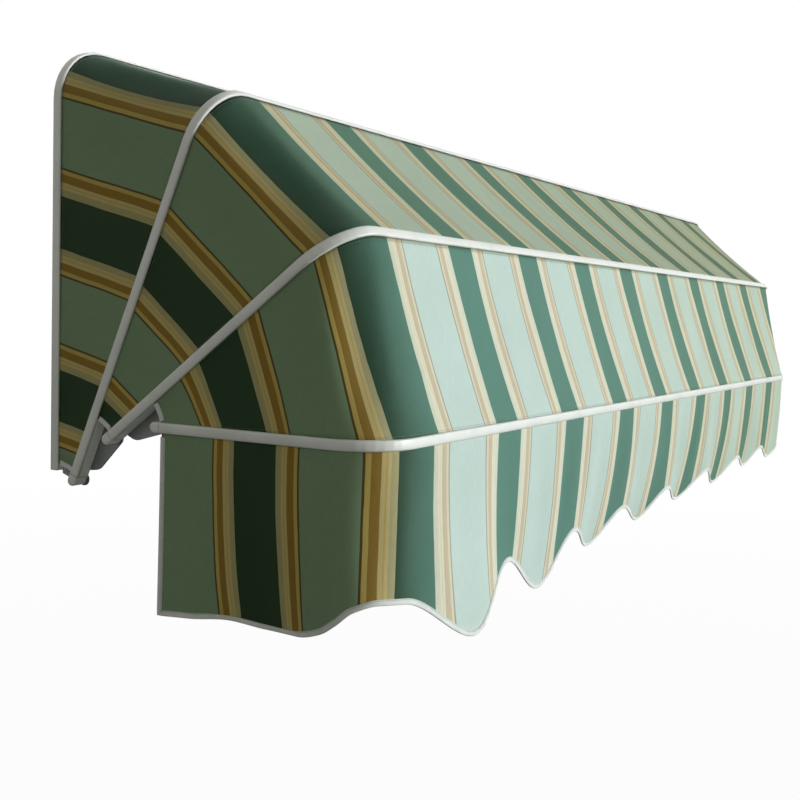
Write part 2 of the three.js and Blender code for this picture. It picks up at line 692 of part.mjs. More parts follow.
/** Valance from the front bow's lower groove to its wavy hem, with its binding. */
function buildValance(front) {
  const stations = front.path(CLOTH_START_HINGED_LEG, LEG_STEPS, HEM_WAVES * WAVE_STEPS);
  const half = CLOTH_THICKNESS / 2;
  const columns = stations.map((station) => {
    const top = front.onPath(station, GROOVE_DEPTH, GROOVE_OFFSET);
    const inwards = new THREE.Vector3(-station.side * Math.cos(station.angle), Math.sin(station.angle), 0);
    const { depth, swing } = hemShape(station, front);
    const row = (t) =>
      top.clone().addScaledVector(inwards, swing * t * t).add(new THREE.Vector3(0, 0, -depth * t));
    return { top, inwards, row };
  });
  const lower = [...valanceRows().slice(1), 1];
  const neck = BEAD_RADIUS / columns[0].top.distanceTo(columns[0].row(1));
  const beadRing = [[-1, 0], [-0.6, 0.8], [0.6, 0.8], [1, 0]];
  const section = [
    ...beadRing.map(([x, y]) => new THREE.Vector2(x * BEAD_RADIUS, y * BEAD_RADIUS)),
    new THREE.Vector2(half, -BEAD_RADIUS),
    ...lower.map((t) => new THREE.Vector2(half, -VALANCE_SIDE_DEPTH * t)),
    ...[...lower].reverse().map((t) => new THREE.Vector2(-half, -VALANCE_SIDE_DEPTH * t)),
    new THREE.Vector2(-half, -BEAD_RADIUS),
  ];
  const rings = columns.map(({ top, inwards, row }) => [
    ...beadRing.map(([x, y]) =>
      top.clone().addScaledVector(inwards, x * BEAD_RADIUS).add(new THREE.Vector3(0, 0, y * BEAD_RADIUS))),
    row(neck).addScaledVector(inwards, half),
    ...lower.map((t) => row(t).addScaledVector(inwards, half)),
    ...[...lower].reverse().map((t) => row(t).addScaledVector(inwards, -half)),
    row(neck).addScaledVector(inwards, -half),
  ]);
  addPiece("valance", loft(rings, section, [], (p, q) => q.y > p.y), "cloth");
  buildHemBinding(columns);
}

/** One binding that runs down the left edge of the valance, along the hem and up the right edge. */
function buildHemBinding(columns) {
  const last = columns.length - 1;
  const rows = valanceRows();
  const lowestRow = rows[rows.length - 1];
  const hemPoint = (k) => columns[THREE.MathUtils.clamp(k, 0, last)].row(1);
  const hem = columns.map(({ row, inwards }, k) => {
    const down = row(1).sub(row(lowestRow)).normalize();
    const way = hemPoint(k + 1).sub(hemPoint(k - 1)).normalize();
    const across = new THREE.Vector3().crossVectors(way, down);
    const slant = across.length();
    const normal = across.normalize();
    if (normal.dot(inwards) < 0) normal.negate();
    return { point: row(1), normal, outward: down.divideScalar(slant) };
  });
  const upright = (k, next) => {
    const drop = columns[k].row(0).z - columns[k].row(1).z;
    const start = (HALF_PROFILE - GROOVE_OFFSET + 5 * FIT_GAP) / drop;
    return [...rows.map((t) => Math.max(t, start)), 1].map((t) => {
      const outward = columns[k].row(t).sub(columns[next].row(t)).normalize();
      return { point: columns[k].row(t), normal: columns[k].inwards, outward };
    });
  };
  const left = upright(0, 1);
  const right = upright(last, last - 1);
  hem[0].outward.add(left.pop().outward);
  hem[last].outward.add(right.pop().outward);
  buildBinding("valance_binding", [...left, ...hem, ...right.reverse()]);
}

const frames = bowFrames();
const [wall, bow1, bow2, front] = frames;
const sides = [[-1, "left"], [1, "right"]];

buildBow("wall_bow", wall, 0, [[BRACKET_RIVET_HEIGHT, BRACKET_RIVET_FORWARD]]);
HINGED_BOWS.forEach(({ name }, k) => {
  const frame = frames[k + 1];
  const carries = frame !== front;
  buildBow(name, frame, PROFILE_START, carries ? PLATE_RIVETS_ALONG.map((along) => [along, 0]) : []);
  for (const [side, sideName] of sides) {
    buildEye(`${name}_eye_${sideName}`, frame, side);
    buildPin(`${name}_pin_${sideName}`, frame, side);
    buildWasher(`${name}_washer_${sideName}`, frame, side);
    if (carries) buildHingePlate(`${name}_plate_${sideName}`, frame, side);
  }
});
for (const [side, sideName] of sides) buildWallBracket(`wall_bracket_${sideName}`, wall, side);
for (const [place, x] of Object.entries(CLIP_POSITIONS)) buildTopClip(`wall_clip_${place}`, x);
buildPanel("back_panel", wall, bow1, CLOTH_START_WALL_LEG, CLOTH_START_HINGED_LEG);
buildPanel("middle_panel", bow1, bow2, CLOTH_START_CARRYING_LEG, CLOTH_START_HINGED_LEG);
buildPanel("front_panel", bow2, front, CLOTH_START_CARRYING_LEG, CLOTH_START_HINGED_LEG);
buildValance(front);

export default group;
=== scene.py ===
"""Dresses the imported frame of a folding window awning.

The frame holds the bent bows, hinges and wall brackets. This script replaces the plain cloth solids
with striped panels, a waved valance, bindings and stitches, gives every piece its finish, and sets the
light and the camera. Sizes are in metres: +X along the awning, -Y out from the wall, +Z up.
"""

import json
import logging
import math
from dataclasses import dataclass, field
from enum import Enum
from typing import Sequence

import bpy
import numpy as np
from mathutils import Matrix, Vector

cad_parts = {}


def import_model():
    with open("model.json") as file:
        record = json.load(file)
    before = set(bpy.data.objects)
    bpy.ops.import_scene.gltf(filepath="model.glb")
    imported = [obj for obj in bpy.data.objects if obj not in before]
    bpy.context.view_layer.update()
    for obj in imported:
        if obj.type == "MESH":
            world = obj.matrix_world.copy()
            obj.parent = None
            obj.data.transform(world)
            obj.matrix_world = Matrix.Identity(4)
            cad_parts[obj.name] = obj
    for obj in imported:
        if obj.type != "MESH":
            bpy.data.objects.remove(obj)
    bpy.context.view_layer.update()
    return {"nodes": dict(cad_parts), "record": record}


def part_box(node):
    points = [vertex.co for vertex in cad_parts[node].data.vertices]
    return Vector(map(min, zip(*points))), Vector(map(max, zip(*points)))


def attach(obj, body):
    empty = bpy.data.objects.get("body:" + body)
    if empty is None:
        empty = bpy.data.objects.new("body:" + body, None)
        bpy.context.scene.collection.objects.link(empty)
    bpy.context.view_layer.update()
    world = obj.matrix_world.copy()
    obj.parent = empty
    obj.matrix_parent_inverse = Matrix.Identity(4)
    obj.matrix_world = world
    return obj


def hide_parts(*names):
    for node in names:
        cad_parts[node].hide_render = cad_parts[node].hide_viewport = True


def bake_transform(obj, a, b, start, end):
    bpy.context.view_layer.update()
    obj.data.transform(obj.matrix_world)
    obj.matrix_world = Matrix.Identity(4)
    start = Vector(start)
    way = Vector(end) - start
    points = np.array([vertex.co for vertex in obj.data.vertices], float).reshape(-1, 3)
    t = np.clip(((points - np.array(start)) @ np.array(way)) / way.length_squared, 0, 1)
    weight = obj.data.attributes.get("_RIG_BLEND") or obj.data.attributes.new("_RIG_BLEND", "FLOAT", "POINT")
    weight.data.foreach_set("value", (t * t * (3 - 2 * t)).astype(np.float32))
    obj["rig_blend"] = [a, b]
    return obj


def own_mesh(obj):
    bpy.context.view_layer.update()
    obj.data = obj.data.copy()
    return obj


LOG = logging.getLogger("awning")
CLOTH_UV = "cloth"
BLEND_WEIGHTS = "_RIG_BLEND"
BOW_LENGTHS = {"bow_1": 0.597, "bow_2": 0.4905, "front_bow": 0.366}
STITCH_PITCH = 0.0045


class Side(Enum):
    """End of the awning, as seen from in front of it."""

    LEFT = -1
    RIGHT = 1


class Slot(Enum):
    """Material slots of the record."""

    PROFILE = "white_profile"
    CAST = "cast_metal"
    STEEL = "steel"
    CLOTH = "striped_cloth"
    BINDING = "binding"


# Sizes shared by the bows and the cloth.


@dataclass(frozen=True)
class Profile:
    """Section of the bent bows, and where its grooves hold the cloth.

    Args:
        width: across the bow's plane.
        depth: from the outer face inwards. Not used.
        groove_depth: from the outer face to the middle of the groove.
        groove_offset: from the bow's plane to the middle of the groove.
        corner_radius: of the outer face where a bow is bent.
    """

    width: float = 0.015
    depth: float = 0.024
    groove_depth: float = 0.0043
    groove_offset: float = 0.0042
    corner_radius: float = 0.078


@dataclass(frozen=True)
class Route:
    """Stations round a bow, as arrays of equal length.

    Args:
        x: place across the awning.
        along: distance from the bow's pivot up its leg.
        angle: turn of the outward way, 0 on the legs and a quarter turn on the bar.
        side: -1 on the left half and 1 on the right.
    """

    x: np.ndarray
    along: np.ndarray
    angle: np.ndarray
    side: np.ndarray

    @property
    def outward_x(self) -> np.ndarray:
        """Share of the outward way that points along X."""
        return self.side * np.cos(self.angle)

    @property
    def outward_up(self) -> np.ndarray:
        """Share of the outward way that points up the leg."""
        return np.sin(self.angle)


@dataclass(frozen=True)
class Bow:
    """Place of one bow in the frame.

    Args:
        body: body that the bow belongs to.
        pivot: (y, z) of its pivot, or of the wall bow's lower end.
        opening: angle from the wall, in radians.
        length: from the pivot to the outer face of the bar.
        half_width: from the middle to the outer face of a leg.
        profile: its section.
    """

    body: str
    pivot: tuple[float, float]
    opening: float
    length: float
    half_width: float
    profile: Profile = field(default_factory=Profile)

    @property
    def up(self) -> np.ndarray:
        """Way up the leg."""
        return np.array([0.0, -math.sin(self.opening), math.cos(self.opening)])

    @property
    def forward(self) -> np.ndarray:
        """Way forward from the bow's plane."""
        return np.array([0.0, -math.cos(self.opening), -math.sin(self.opening)])

    @property
    def origin(self) -> np.ndarray:
        """The pivot as a point in the middle plane."""
        return np.array([0.0, *self.pivot])

    def route(self, start: float, leg: int, corner: int, bar: int) -> Route:
        """Stations from the left leg over the bar to the right leg.

        Args:
            start: distance up the leg where the route begins and ends.
            leg: steps on a leg.
            corner: steps in a corner.
            bar: steps on the bar.

        Returns:
            The route.
        """
        radius = self.profile.corner_radius
        bend = self.length - radius
        turn = np.linspace(0, math.pi / 2, corner + 1)
        x = np.concatenate([np.zeros(leg), radius * (1 - np.cos(turn))])
        along = np.concatenate([np.linspace(start, bend, leg + 1)[:-1], bend + radius * np.sin(turn)])
        angle = np.concatenate([np.zeros(leg), turn])
        inner = np.linspace(radius, 2 * self.half_width - radius, bar + 1)[1:-1] - self.half_width
        left, right = x - self.half_width, (self.half_width - x)[::-1]
        return Route(
            x=np.concatenate([left, inner, right]),
            along=np.concatenate([along, np.full(len(inner), self.length), along[::-1]]),
            angle=np.concatenate([angle, np.full(len(inner), math.pi / 2), angle[::-1]]),
            side=np.concatenate([-np.ones(len(left)), np.ones(len(inner) + len(right))]),
        )

    def points(self, route: Route, depth: float, forward: float) -> np.ndarray:
        """Points of a route at a depth below the outer face and a distance forward.

        Args:
            route: the stations.
            depth: below the outer face.
            forward: from the bow's plane.

        Returns:
            An array of points.
        """
        along = route.along - depth * route.outward_up
        points = self.origin + along[:, None] * self.up + forward * self.forward
        points[:, 0] = route.x - depth * route.outward_x
        return points


def read_bows(frame: dict) -> list[Bow]:
    """Works out the bows' places from the frame's joints.


    Returns:
        The wall bow and the hinged bows, from the wall outwards.
    """
    profile = Profile()
    low, high = (Vector(corner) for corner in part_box("wall_bow"))
    half_width = (high.x - low.x) / 2
    bows = [Bow("wall_frame", ((low.y + high.y) / 2, low.z), 0.0, high.z - low.z, half_width)]
    opening = 0.0
    joints = {joint["child"]: joint for joint in frame["record"]["behaviour"]["joints"]}
    for body, length in BOW_LENGTHS.items():
        joint = joints[body]
        opening += math.radians(max(joint["range_deg"]))
        pivot = tuple(joint["pos_m"][1:])
        bows.append(Bow(body, pivot, opening, length, half_width, profile))
    return bows


# Mesh helpers.


def curve_through(values: np.ndarray, places: np.ndarray, heights: np.ndarray) -> np.ndarray:
    """Smooth curve through points that goes no further up or down than they do.

    Args:
        values: where the curve is read.
        places: of the points, from low to high.
        heights: of the points.

    Returns:
        The curve's heights.
    """
    width = np.diff(places)
    rise = np.diff(heights) / width
    slope = np.concatenate([rise[:1], np.zeros(len(rise) - 1), rise[-1:]])
    same = rise[1:] * rise[:-1] > 0
    slope[1:-1][same] = (2 * rise[1:] * rise[:-1])[same] / (rise[1:] + rise[:-1])[same]
    left = np.clip(np.searchsorted(places, values) - 1, 0, len(rise) - 1)
    share = np.clip((values - places[left]) / width[left], 0, 1)
    swell = share * share * (3 - 2 * share)
    start = share * (1 - share) ** 2 * width[left] * slope[left]
    end = share * share * (share - 1) * width[left] * slope[left + 1]
    return heights[left] * (1 - swell) + heights[left + 1] * swell + start + end


def mesh_object(
    name: str, points: np.ndarray, faces: Sequence[Sequence[int]], smooth: bool = True,
) -> bpy.types.Object:
    """Makes a mesh object in the scene.

    Args:
        name: name of the piece.
        points: vertices.
        faces: loops of vertex numbers.
        smooth: whether it is shaded smooth.

    Returns:
        The object.
    """
    mesh = bpy.data.meshes.new(name)
    mesh.from_pydata([tuple(p) for p in points], [], [tuple(f) for f in faces])
    mesh.update()
    mesh.polygons.foreach_set("use_smooth", [smooth] * len(mesh.polygons))
    piece = bpy.data.objects.new(name, mesh)
    bpy.context.scene.collection.objects.link(piece)
    return piece


def set_uv(piece: bpy.types.Object, coordinates: np.ndarray) -> None:
    """Writes one UV pair for each vertex.

    Args:
        piece: the mesh object.
        coordinates: array of (u, v), one for each vertex.
    """
    layer = piece.data.uv_layers.new(name=CLOTH_UV)
    corners = np.zeros(len(piece.data.loops), dtype=int)
    piece.data.loops.foreach_get("vertex_index", corners)
    layer.data.foreach_set("uv", coordinates[corners].astype(np.float32).ravel())


def grid_normals(grid: np.ndarray) -> np.ndarray:
    """Normals of a grid of points.

    Args:
        grid: array of rows, columns and 3.

    Returns:
        Unit normals, as many as the points.
    """
    normals = np.cross(np.gradient(grid, axis=0), np.gradient(grid, axis=1))
    return normals / np.linalg.norm(normals, axis=2, keepdims=True)


def two_sided_cloth(name: str, grid: np.ndarray, uv: np.ndarray, thickness: float) -> bpy.types.Object:
    """Makes a closed cloth of a thickness round a grid of points.

    Args:
        name: name of the piece.
        grid: points, as rows, columns and 3.
        uv: pattern coordinates of the points.
        thickness: of the cloth.

    Returns:
        The object, with faces outwards.
    """
    rows, columns = grid.shape[:2]
    normals = grid_normals(grid) * thickness / 2
    points = np.concatenate([(grid + normals).reshape(-1, 3), (grid - normals).reshape(-1, 3)])
    back = rows * columns
    at = np.arange(back).reshape(rows, columns)
    quads = np.stack([at[:-1, :-1], at[1:, :-1], at[1:, 1:], at[:-1, 1:]], axis=-1).reshape(-1, 4)
    faces = [*quads, *(quads[:, ::-1] + back)]
    rim = [*at[0], *at[1:, -1], *at[-1, -2::-1], *at[-2:0:-1, 0]]
    for here, following in zip(rim, [*rim[1:], rim[0]]):
        faces.append([here, following, following + back, here + back])
    piece = mesh_object(name, points, faces)
    set_uv(piece, np.concatenate([uv.reshape(-1, 2)] * 2))
    return piece


def signed_volume(points: np.ndarray, faces: Sequence[Sequence[int]]) -> float:
    """Six times the volume inside a closed surface, below 0 where its faces point inwards.

    Args:
        points: vertices.
        faces: loops of vertex numbers.

    Returns:
        The signed measure.
    """
    return float(sum(
        np.dot(points[face[0]], np.cross(points[face[k]], points[face[k + 1]]))
        for face in faces for k in range(1, len(face) - 1)
    ))


def turn_outwards(piece: bpy.types.Object) -> None:
    """Makes the faces of a closed piece point outwards.

    Args:
        piece: a closed mesh object.
    """
    points = np.array([v.co for v in piece.data.vertices])
    if signed_volume(points, [list(face.vertices) for face in piece.data.polygons]) < 0:
        piece.data.flip_normals()


def sweep(
    name: str, path: np.ndarray, across: np.ndarray, out: np.ndarray, section: np.ndarray,
) -> bpy.types.Object:
    """Sweeps a closed section along a path.

    Args:
        name: name of the piece.
        path: points.
        across: way of the section's first axis at each point.
        out: way of the section's second axis at each point.
        section: points of the section, as (across, out).

    Returns:
        The closed object, with a UV of (length along the path, length round the section).
    """
    rings = path[:, None] + section[None, :, :1] * across[:, None] + section[None, :, 1:] * out[:, None]
    count, size = rings.shape[:2]
    at = np.arange(count * size).reshape(count, size)
    following = np.roll(at, -1, axis=1)
    faces = list(np.stack([at[:-1], following[:-1], following[1:], at[1:]], axis=-1).reshape(-1, 4))
    faces += [at[0][::-1], at[-1]]
    points = rings.reshape(-1, 3)
    if signed_volume(points, faces) < 0:
        faces = [list(face)[::-1] for face in faces]
    piece = mesh_object(name, points, faces)
    length = np.concatenate([[0], np.cumsum(np.linalg.norm(np.diff(path, axis=0), axis=1))])
    round_it = np.linalg.norm(np.diff(section, axis=0, prepend=section[:1]), axis=1).cumsum()
    uv = np.stack(np.broadcast_arrays(length[:, None], round_it[None, :]), axis=-1)
    set_uv(piece, uv.reshape(-1, 2))
    return piece


# Finishes.


class NodeSheet:
    """Short ways to add and join shader nodes in one material."""

    def __init__(self, name: str) -> None:
        """Starts an empty material.

        Args:
            name: name of the material.
        """
        self.material = bpy.data.materials.new(name)
        self.material.use_nodes = True
        self.tree = self.material.node_tree
        self.tree.nodes.clear()

    def add(self, kind: str, settings: dict | None = None, **inputs: object) -> bpy.types.Node:
        """Adds a node.

        Args:
            kind: the node's type.
            settings: properties of the node.
            inputs: values or output sockets for its inputs, by name with _ for a space.

        Returns:
            The node.
        """
        node = self.tree.nodes.new(kind)
        for key, value in (settings or {}).items():
            setattr(node, key, value)
        for key, value in inputs.items():
            self.put(node.inputs[key.replace("_", " ")], value)
        return node

    def put(self, socket: bpy.types.NodeSocket, value: object) -> None:
        """Joins an output to a socket, or sets the socket's value.

        Args:
            socket: an input.
            value: an output socket or a value.
        """
        if isinstance(value, bpy.types.NodeSocket):
            self.tree.links.new(value, socket)
        else:
            socket.default_value = value

    def math(self, operation: str, a: object, b: object = 0.0) -> bpy.types.NodeSocket:
        """Adds a math node and returns its output.

        Args:
            operation: name of the operation.
            a: first value.
            b: second value.

        Returns:
            The result's socket.
        """
        node = self.add("ShaderNodeMath", {"operation": operation})
        self.put(node.inputs[0], a)
        self.put(node.inputs[1], b)
        return node.outputs[0]

    def mix(self, share: object, a: object, b: object, blend: str = "MIX") -> bpy.types.NodeSocket:
        """Mixes two colours.

        Args:
            share: how much of the second.
            a: first colour.
            b: second colour.
            blend: how they are mixed.

        Returns:
            The mixed colour's socket.
        """
        node = self.add("ShaderNodeMix", {"data_type": "RGBA", "blend_type": blend})
        self.put(node.inputs[0], share)
        self.put(node.inputs[6], a)
        self.put(node.inputs[7], b)
        return node.outputs[2]

    def noise(
        self, vector: object, scale: float, detail: float = 3.0, roughness: float = 0.5,
    ) -> bpy.types.NodeSocket:
        """Adds a noise value from 0 to 1.

        Args:
            vector: where it is read.
            scale: of the noise.
            detail: finer layers.
            roughness: weight of the finer layers.

        Returns:
            The value's socket.
        """
        settings = {"Vector": vector, "Scale": scale, "Detail": detail, "Roughness": roughness}
        return self.add("ShaderNodeTexNoise", None, **settings).outputs["Fac"]

    def eased(self, value: object, low: float, high: float) -> bpy.types.NodeSocket:
        """Eases a value from 0 at one bound to 1 at the other.

        Args:
            value: what is eased.
            low: where the result leaves 0.
            high: where the result reaches 1.

        Returns:
            The result's socket.
        """
        settings = {"From Min": low, "From Max": high}
        node = self.add("ShaderNodeMapRange", {"interpolation_type": "SMOOTHSTEP"}, Value=value)
        for name, bound in settings.items():
            self.put(node.inputs[name], bound)
        return node.outputs[0]

    def ramp(
        self, value: object, stops: Sequence[tuple[float, tuple]], steps: bool = False,
    ) -> bpy.types.NodeSocket:
        """Colour ramp.

        Args:
            value: what it reads.
            stops: (position, colour) from low to high.
            steps: whether each colour holds until the next stop.

        Returns:
            The colour's socket.
        """
        node = self.add("ShaderNodeValToRGB", None, Fac=value)
        ramp = node.color_ramp
        ramp.interpolation = "CONSTANT" if steps else "LINEAR"
        while len(ramp.elements) < len(stops):
            ramp.elements.new(1.0)
        for element, (position, colour) in zip(ramp.elements, stops):
            element.position = position
            element.color = (*colour, 1.0)
        return node.outputs["Color"]

    def surface(self, **inputs: object) -> bpy.types.Material:
        """Ends the material in a Principled shader.

        Args:
            inputs: its inputs, by name with _ for a space.

        Returns:
            The material.
        """
        shader = self.add("ShaderNodeBsdfPrincipled", None, **inputs)
        self.add("ShaderNodeOutputMaterial", None, Surface=shader.outputs[0])
        return self.material


@dataclass(frozen=True)
class StripeColours:
    """Yarn colours of the striped cloth, with the light of one part of the awning painted in.

    Args:
        green: the dark stripe.
        sage: the light stripe.
        line: the thin dark lines of a band.
        tan: the band's bar beside the sage.
        gold: the band's wide bar.
        cream: the band's pale bars.
        taupe: the band's bar beside the green.
    """

    green: tuple
    sage: tuple
    line: tuple
    tan: tuple
    gold: tuple
    cream: tuple
    taupe: tuple


# Yarn colours of the ends: painted shade.
SHADED_END_YARNS = StripeColours(
    green=(0.009, 0.034, 0.006), sage=(0.246, 0.350, 0.206), line=(0.095, 0.065, 0.010),
    tan=(0.60, 0.445, 0.12), gold=(0.315, 0.185, 0.022), cream=(0.665, 0.525, 0.21),
    taupe=(0.46, 0.41, 0.19),
)
# Yarn colours of the front and top: painted light, with some sun fading.
LIT_FRONT_YARNS = StripeColours(
    green=(0.103, 0.250, 0.195), sage=(0.620, 0.750, 0.700), line=(0.420, 0.370, 0.280),
    tan=(0.76, 0.71, 0.55), gold=(0.660, 0.555, 0.390), cream=(0.850, 0.80, 0.64),
    taupe=(0.75, 0.76, 0.62),
)


@dataclass(frozen=True)
class StripedCloth:
    """Woven awning cloth with block stripes, darker on the ends by painted shade and paler on the front and
    top by painted light with some sun fading.

    Args:
        shaded_yarns: yarns of the ends, painted shade.
        lit_yarns: yarns of the front and top, painted light with some sun fading.
        repeat: width of one repeat.
        green_start: where a green stripe begins, from the awning's left end.
        green_width: of the dark stripe.
        lit_start_left: where the painted light begins and is whole at the left corner.
        lit_end_right: where it ends again at the right corner.
        lit_edge_waver: how far the painted light's edge wanders.
        right_shade: share of its colour that the cloth keeps at its right end, painted shade where the light
            falls off.
        right_shade_span: where the painted shade begins, and where it is darkest.
        top_shade: share of its colour that it keeps on its upper faces, painted shade.
        top_shade_span: how far a face points up where the painted shade begins, and where it is darkest.
        wander: how far the stripes' edges waver.
        warp_pitch: between warp yarns.
        weft_pitch: between weft yarns.
    """

    shaded_yarns: StripeColours = SHADED_END_YARNS
    lit_yarns: StripeColours = LIT_FRONT_YARNS
    repeat: float = 0.240
    green_start: float = 0.037
    green_width: float = 0.072
    lit_start_left: tuple = (0.0, 0.15)
    lit_end_right: tuple = (2.30, 2.42)
    lit_edge_waver: float = 0.05
    right_shade: tuple = (0.90, 0.88, 0.77)
    right_shade_span: tuple = (0.3, 2.292)
    top_shade: tuple = (0.76, 0.75, 0.63)
    top_shade_span: tuple = (0.40, 0.74)
    wander: float = 0.004
    warp_pitch: float = 0.0011
    weft_pitch: float = 0.0013

    def band(self, yarns: StripeColours) -> list[tuple[float, tuple]]:
        """Bars of one band.

        Args:
            yarns: their colours.

        Returns:
            (width in metres, colour) of each bar from the band's sage side.
        """
        return [
            (0.0030, yarns.line),
            (0.0055, yarns.tan),
            (0.0110, yarns.gold),
            (0.0045, yarns.cream),
            (0.0016, yarns.tan),
            (0.0038, yarns.cream),
            (0.0090, yarns.taupe),
        ]

    def stops(self, yarns: StripeColours) -> list[tuple[float, tuple]]:
        """Stops of one repeat.

        Args:
            yarns: their colours.

        Returns:
            (place, colour) of each bar from the green's left edge, as shares of the repeat.
        """
        band = self.band(yarns)
        widths = sum(width for width, _ in band)
        sage_width = self.repeat - self.green_width - 2 * widths
        bars = [(self.green_width, yarns.green), *band[::-1], (sage_width, yarns.sage), *band]
        stops, place = [], 0.0
        for width, colour in bars:
            stops.append((place / self.repeat, colour))
            place += width
        return stops

    def build(self) -> bpy.types.Material:
        """Makes the material, which reads the cloth's own UV: u across the stripes and v along them.

        Returns:
            The material.
        """
        sheet = NodeSheet("striped_awning_cloth")
        uv = sheet.add("ShaderNodeUVMap", {"uv_map": CLOTH_UV}).outputs[0]
        across = sheet.add("ShaderNodeSeparateXYZ", None, Vector=uv).outputs
        wander = sheet.math("SUBTRACT", sheet.noise(uv, 9.0, 2.0), 0.5)
        straight = sheet.math("ADD", across[0], sheet.math("MULTIPLY", wander, self.wander))
        turns = sheet.math("DIVIDE", sheet.math("SUBTRACT", straight, self.green_start), self.repeat)
        place = sheet.math("FRACT", turns)
        # Painted shade and light: the ends take the shaded yarn colours, the front and top the lit ones,
        # changing near the corners.
        shaded_yarns = sheet.ramp(place, self.stops(self.shaded_yarns), steps=True)
        lit_yarns = sheet.ramp(place, self.stops(self.lit_yarns), steps=True)
        patches = sheet.noise(uv, 5.0, 4.0, 0.55)
        wavering = sheet.math("MULTIPLY", sheet.math("SUBTRACT", patches, 0.5), self.lit_edge_waver)
        uneven = sheet.math("ADD", across[0], wavering)
        lit_past_left = sheet.mix(sheet.eased(uneven, *self.lit_start_left), shaded_yarns, lit_yarns)
        stripe = sheet.mix(sheet.eased(uneven, *self.lit_end_right), lit_past_left, shaded_yarns)
        # Painted shade: the cloth grows darker and yellower towards its right end, where the light falls
        # off.
        shaded_right = sheet.mix(1.0, stripe, (*self.right_shade, 1.0), "MULTIPLY")
        stripe = sheet.mix(sheet.eased(uneven, *self.right_shade_span), stripe, shaded_right)
        # Painted shade: faces that point up are darker, read from their direction in the current pose, so it
        # moves as the awning folds.
        normal = sheet.add("ShaderNodeNewGeometry").outputs["Normal"]
        height = sheet.add("ShaderNodeSeparateXYZ", None, Vector=normal).outputs[2]
        upward = sheet.eased(height, *self.top_shade_span)
        shaded_top = sheet.mix(1.0, stripe, (*self.top_shade, 1.0), "MULTIPLY")
        stripe = sheet.mix(upward, stripe, shaded_top)

        yarn = sheet.add("ShaderNodeMapping", None, Vector=uv, Scale=(1.0, 0.06, 1.0)).outputs[0]
        yarns = sheet.noise(yarn, 900.0, 2.0, 0.6)
        shade = sheet.ramp(yarns, [(0.3, (0.88, 0.88, 0.88)), (0.7, (1.0, 1.0, 1.0))])
        worn = sheet.ramp(patches, [(0.35, (0.94, 0.95, 0.94)), (0.65, (1.0, 1.0, 1.0))])
        colour = sheet.mix(1.0, sheet.mix(1.0, stripe, shade, "MULTIPLY"), worn, "MULTIPLY")

        warp = sheet.math("SINE", sheet.math("MULTIPLY", across[0], 2 * math.pi / self.warp_pitch))
        weft = sheet.math("SINE", sheet.math("MULTIPLY", across[1], 2 * math.pi / self.weft_pitch))
        weave = sheet.math("MULTIPLY", warp, weft)
        relief = sheet.math("ADD", sheet.math("MULTIPLY", weave, 0.5), sheet.math("MULTIPLY", patches, 2.5))
        bump = sheet.add("ShaderNodeBump", None, Height=relief, Strength=0.25, Distance=0.0006).outputs[0]
        return sheet.surface(
            Base_Color=colour, Roughness=0.78, Specular_IOR_Level=0.25, Sheen_Weight=0.08, Normal=bump,
        )


@dataclass(frozen=True)
class CoatedAluminium:
    """White coating on the bows.

    Args:
        colour: of the coating.
        grime: colour that the dull patches lean to.
        roughness: of the clean coating.
        rounding: over which the coating softens the edges.
    """

    colour: tuple = (0.87, 0.87, 0.84)
    grime: tuple = (0.66, 0.68, 0.61)
    roughness: float = 0.32
    rounding: float = 0.005

    def build(self) -> bpy.types.Material:
        """Makes the material.

        Returns:
            The material.
        """
        sheet = NodeSheet("white_coated_aluminium")
        place = sheet.add("ShaderNodeTexCoord").outputs["Object"]
        patches = sheet.noise(place, 14.0, 5.0, 0.6)
        dust = sheet.noise(place, 160.0, 3.0, 0.6)
        dull = sheet.ramp(patches, [(0.45, (0.0, 0.0, 0.0)), (0.80, (0.6, 0.6, 0.6))])
        colour = sheet.mix(dull, (*self.colour, 1.0), (*self.grime, 1.0))
        roughness = sheet.math("ADD", self.roughness, sheet.math("MULTIPLY", dust, 0.18))
        rounded = sheet.add("ShaderNodeBevel", {"samples": 8}, Radius=self.rounding).outputs[0]
        bump = sheet.add(
            "ShaderNodeBump", None, Height=dust, Strength=0.12, Distance=0.0004, Normal=rounded,
        ).outputs[0]
        return sheet.surface(
            Base_Color=colour, Roughness=roughness, Specular_IOR_Level=0.5, Coat_Weight=0.25,
            Coat_Roughness=0.2, Normal=bump,
        )


@dataclass(frozen=True)
class PlainMetal:
    """Bare grey metal of castings or fixings.

    Args:
        name: of the material.
        colour: of the metal.
        roughness: of its smooth parts.
        grain: scale of its surface.
        bump: height of the grain.
        stained: share of its colour that a stain leaves.
    """

    name: str
    colour: tuple
    roughness: float
    grain: float
    bump: float
    stained: float = 0.55

    def build(self) -> bpy.types.Material:
        """Makes the material.

        Returns:
            The material.
        """
        sheet = NodeSheet(self.name)
        place = sheet.add("ShaderNodeTexCoord").outputs["Object"]
        grain = sheet.noise(place, self.grain, 4.0, 0.65)
        stains = sheet.noise(place, self.grain / 9, 3.0, 0.5)
        dark = tuple(self.stained * part for part in self.colour)
        colour = sheet.mix(sheet.math("MULTIPLY", stains, 0.7), (*self.colour, 1.0), (*dark, 1.0))
        roughness = sheet.math("ADD", self.roughness, sheet.math("MULTIPLY", grain, 0.25))
        bump = sheet.add(
            "ShaderNodeBump", None, Height=grain, Strength=self.bump, Distance=0.0005,
        ).outputs[0]
        return sheet.surface(Base_Color=colour, Metallic=0.85, Roughness=roughness, Normal=bump)


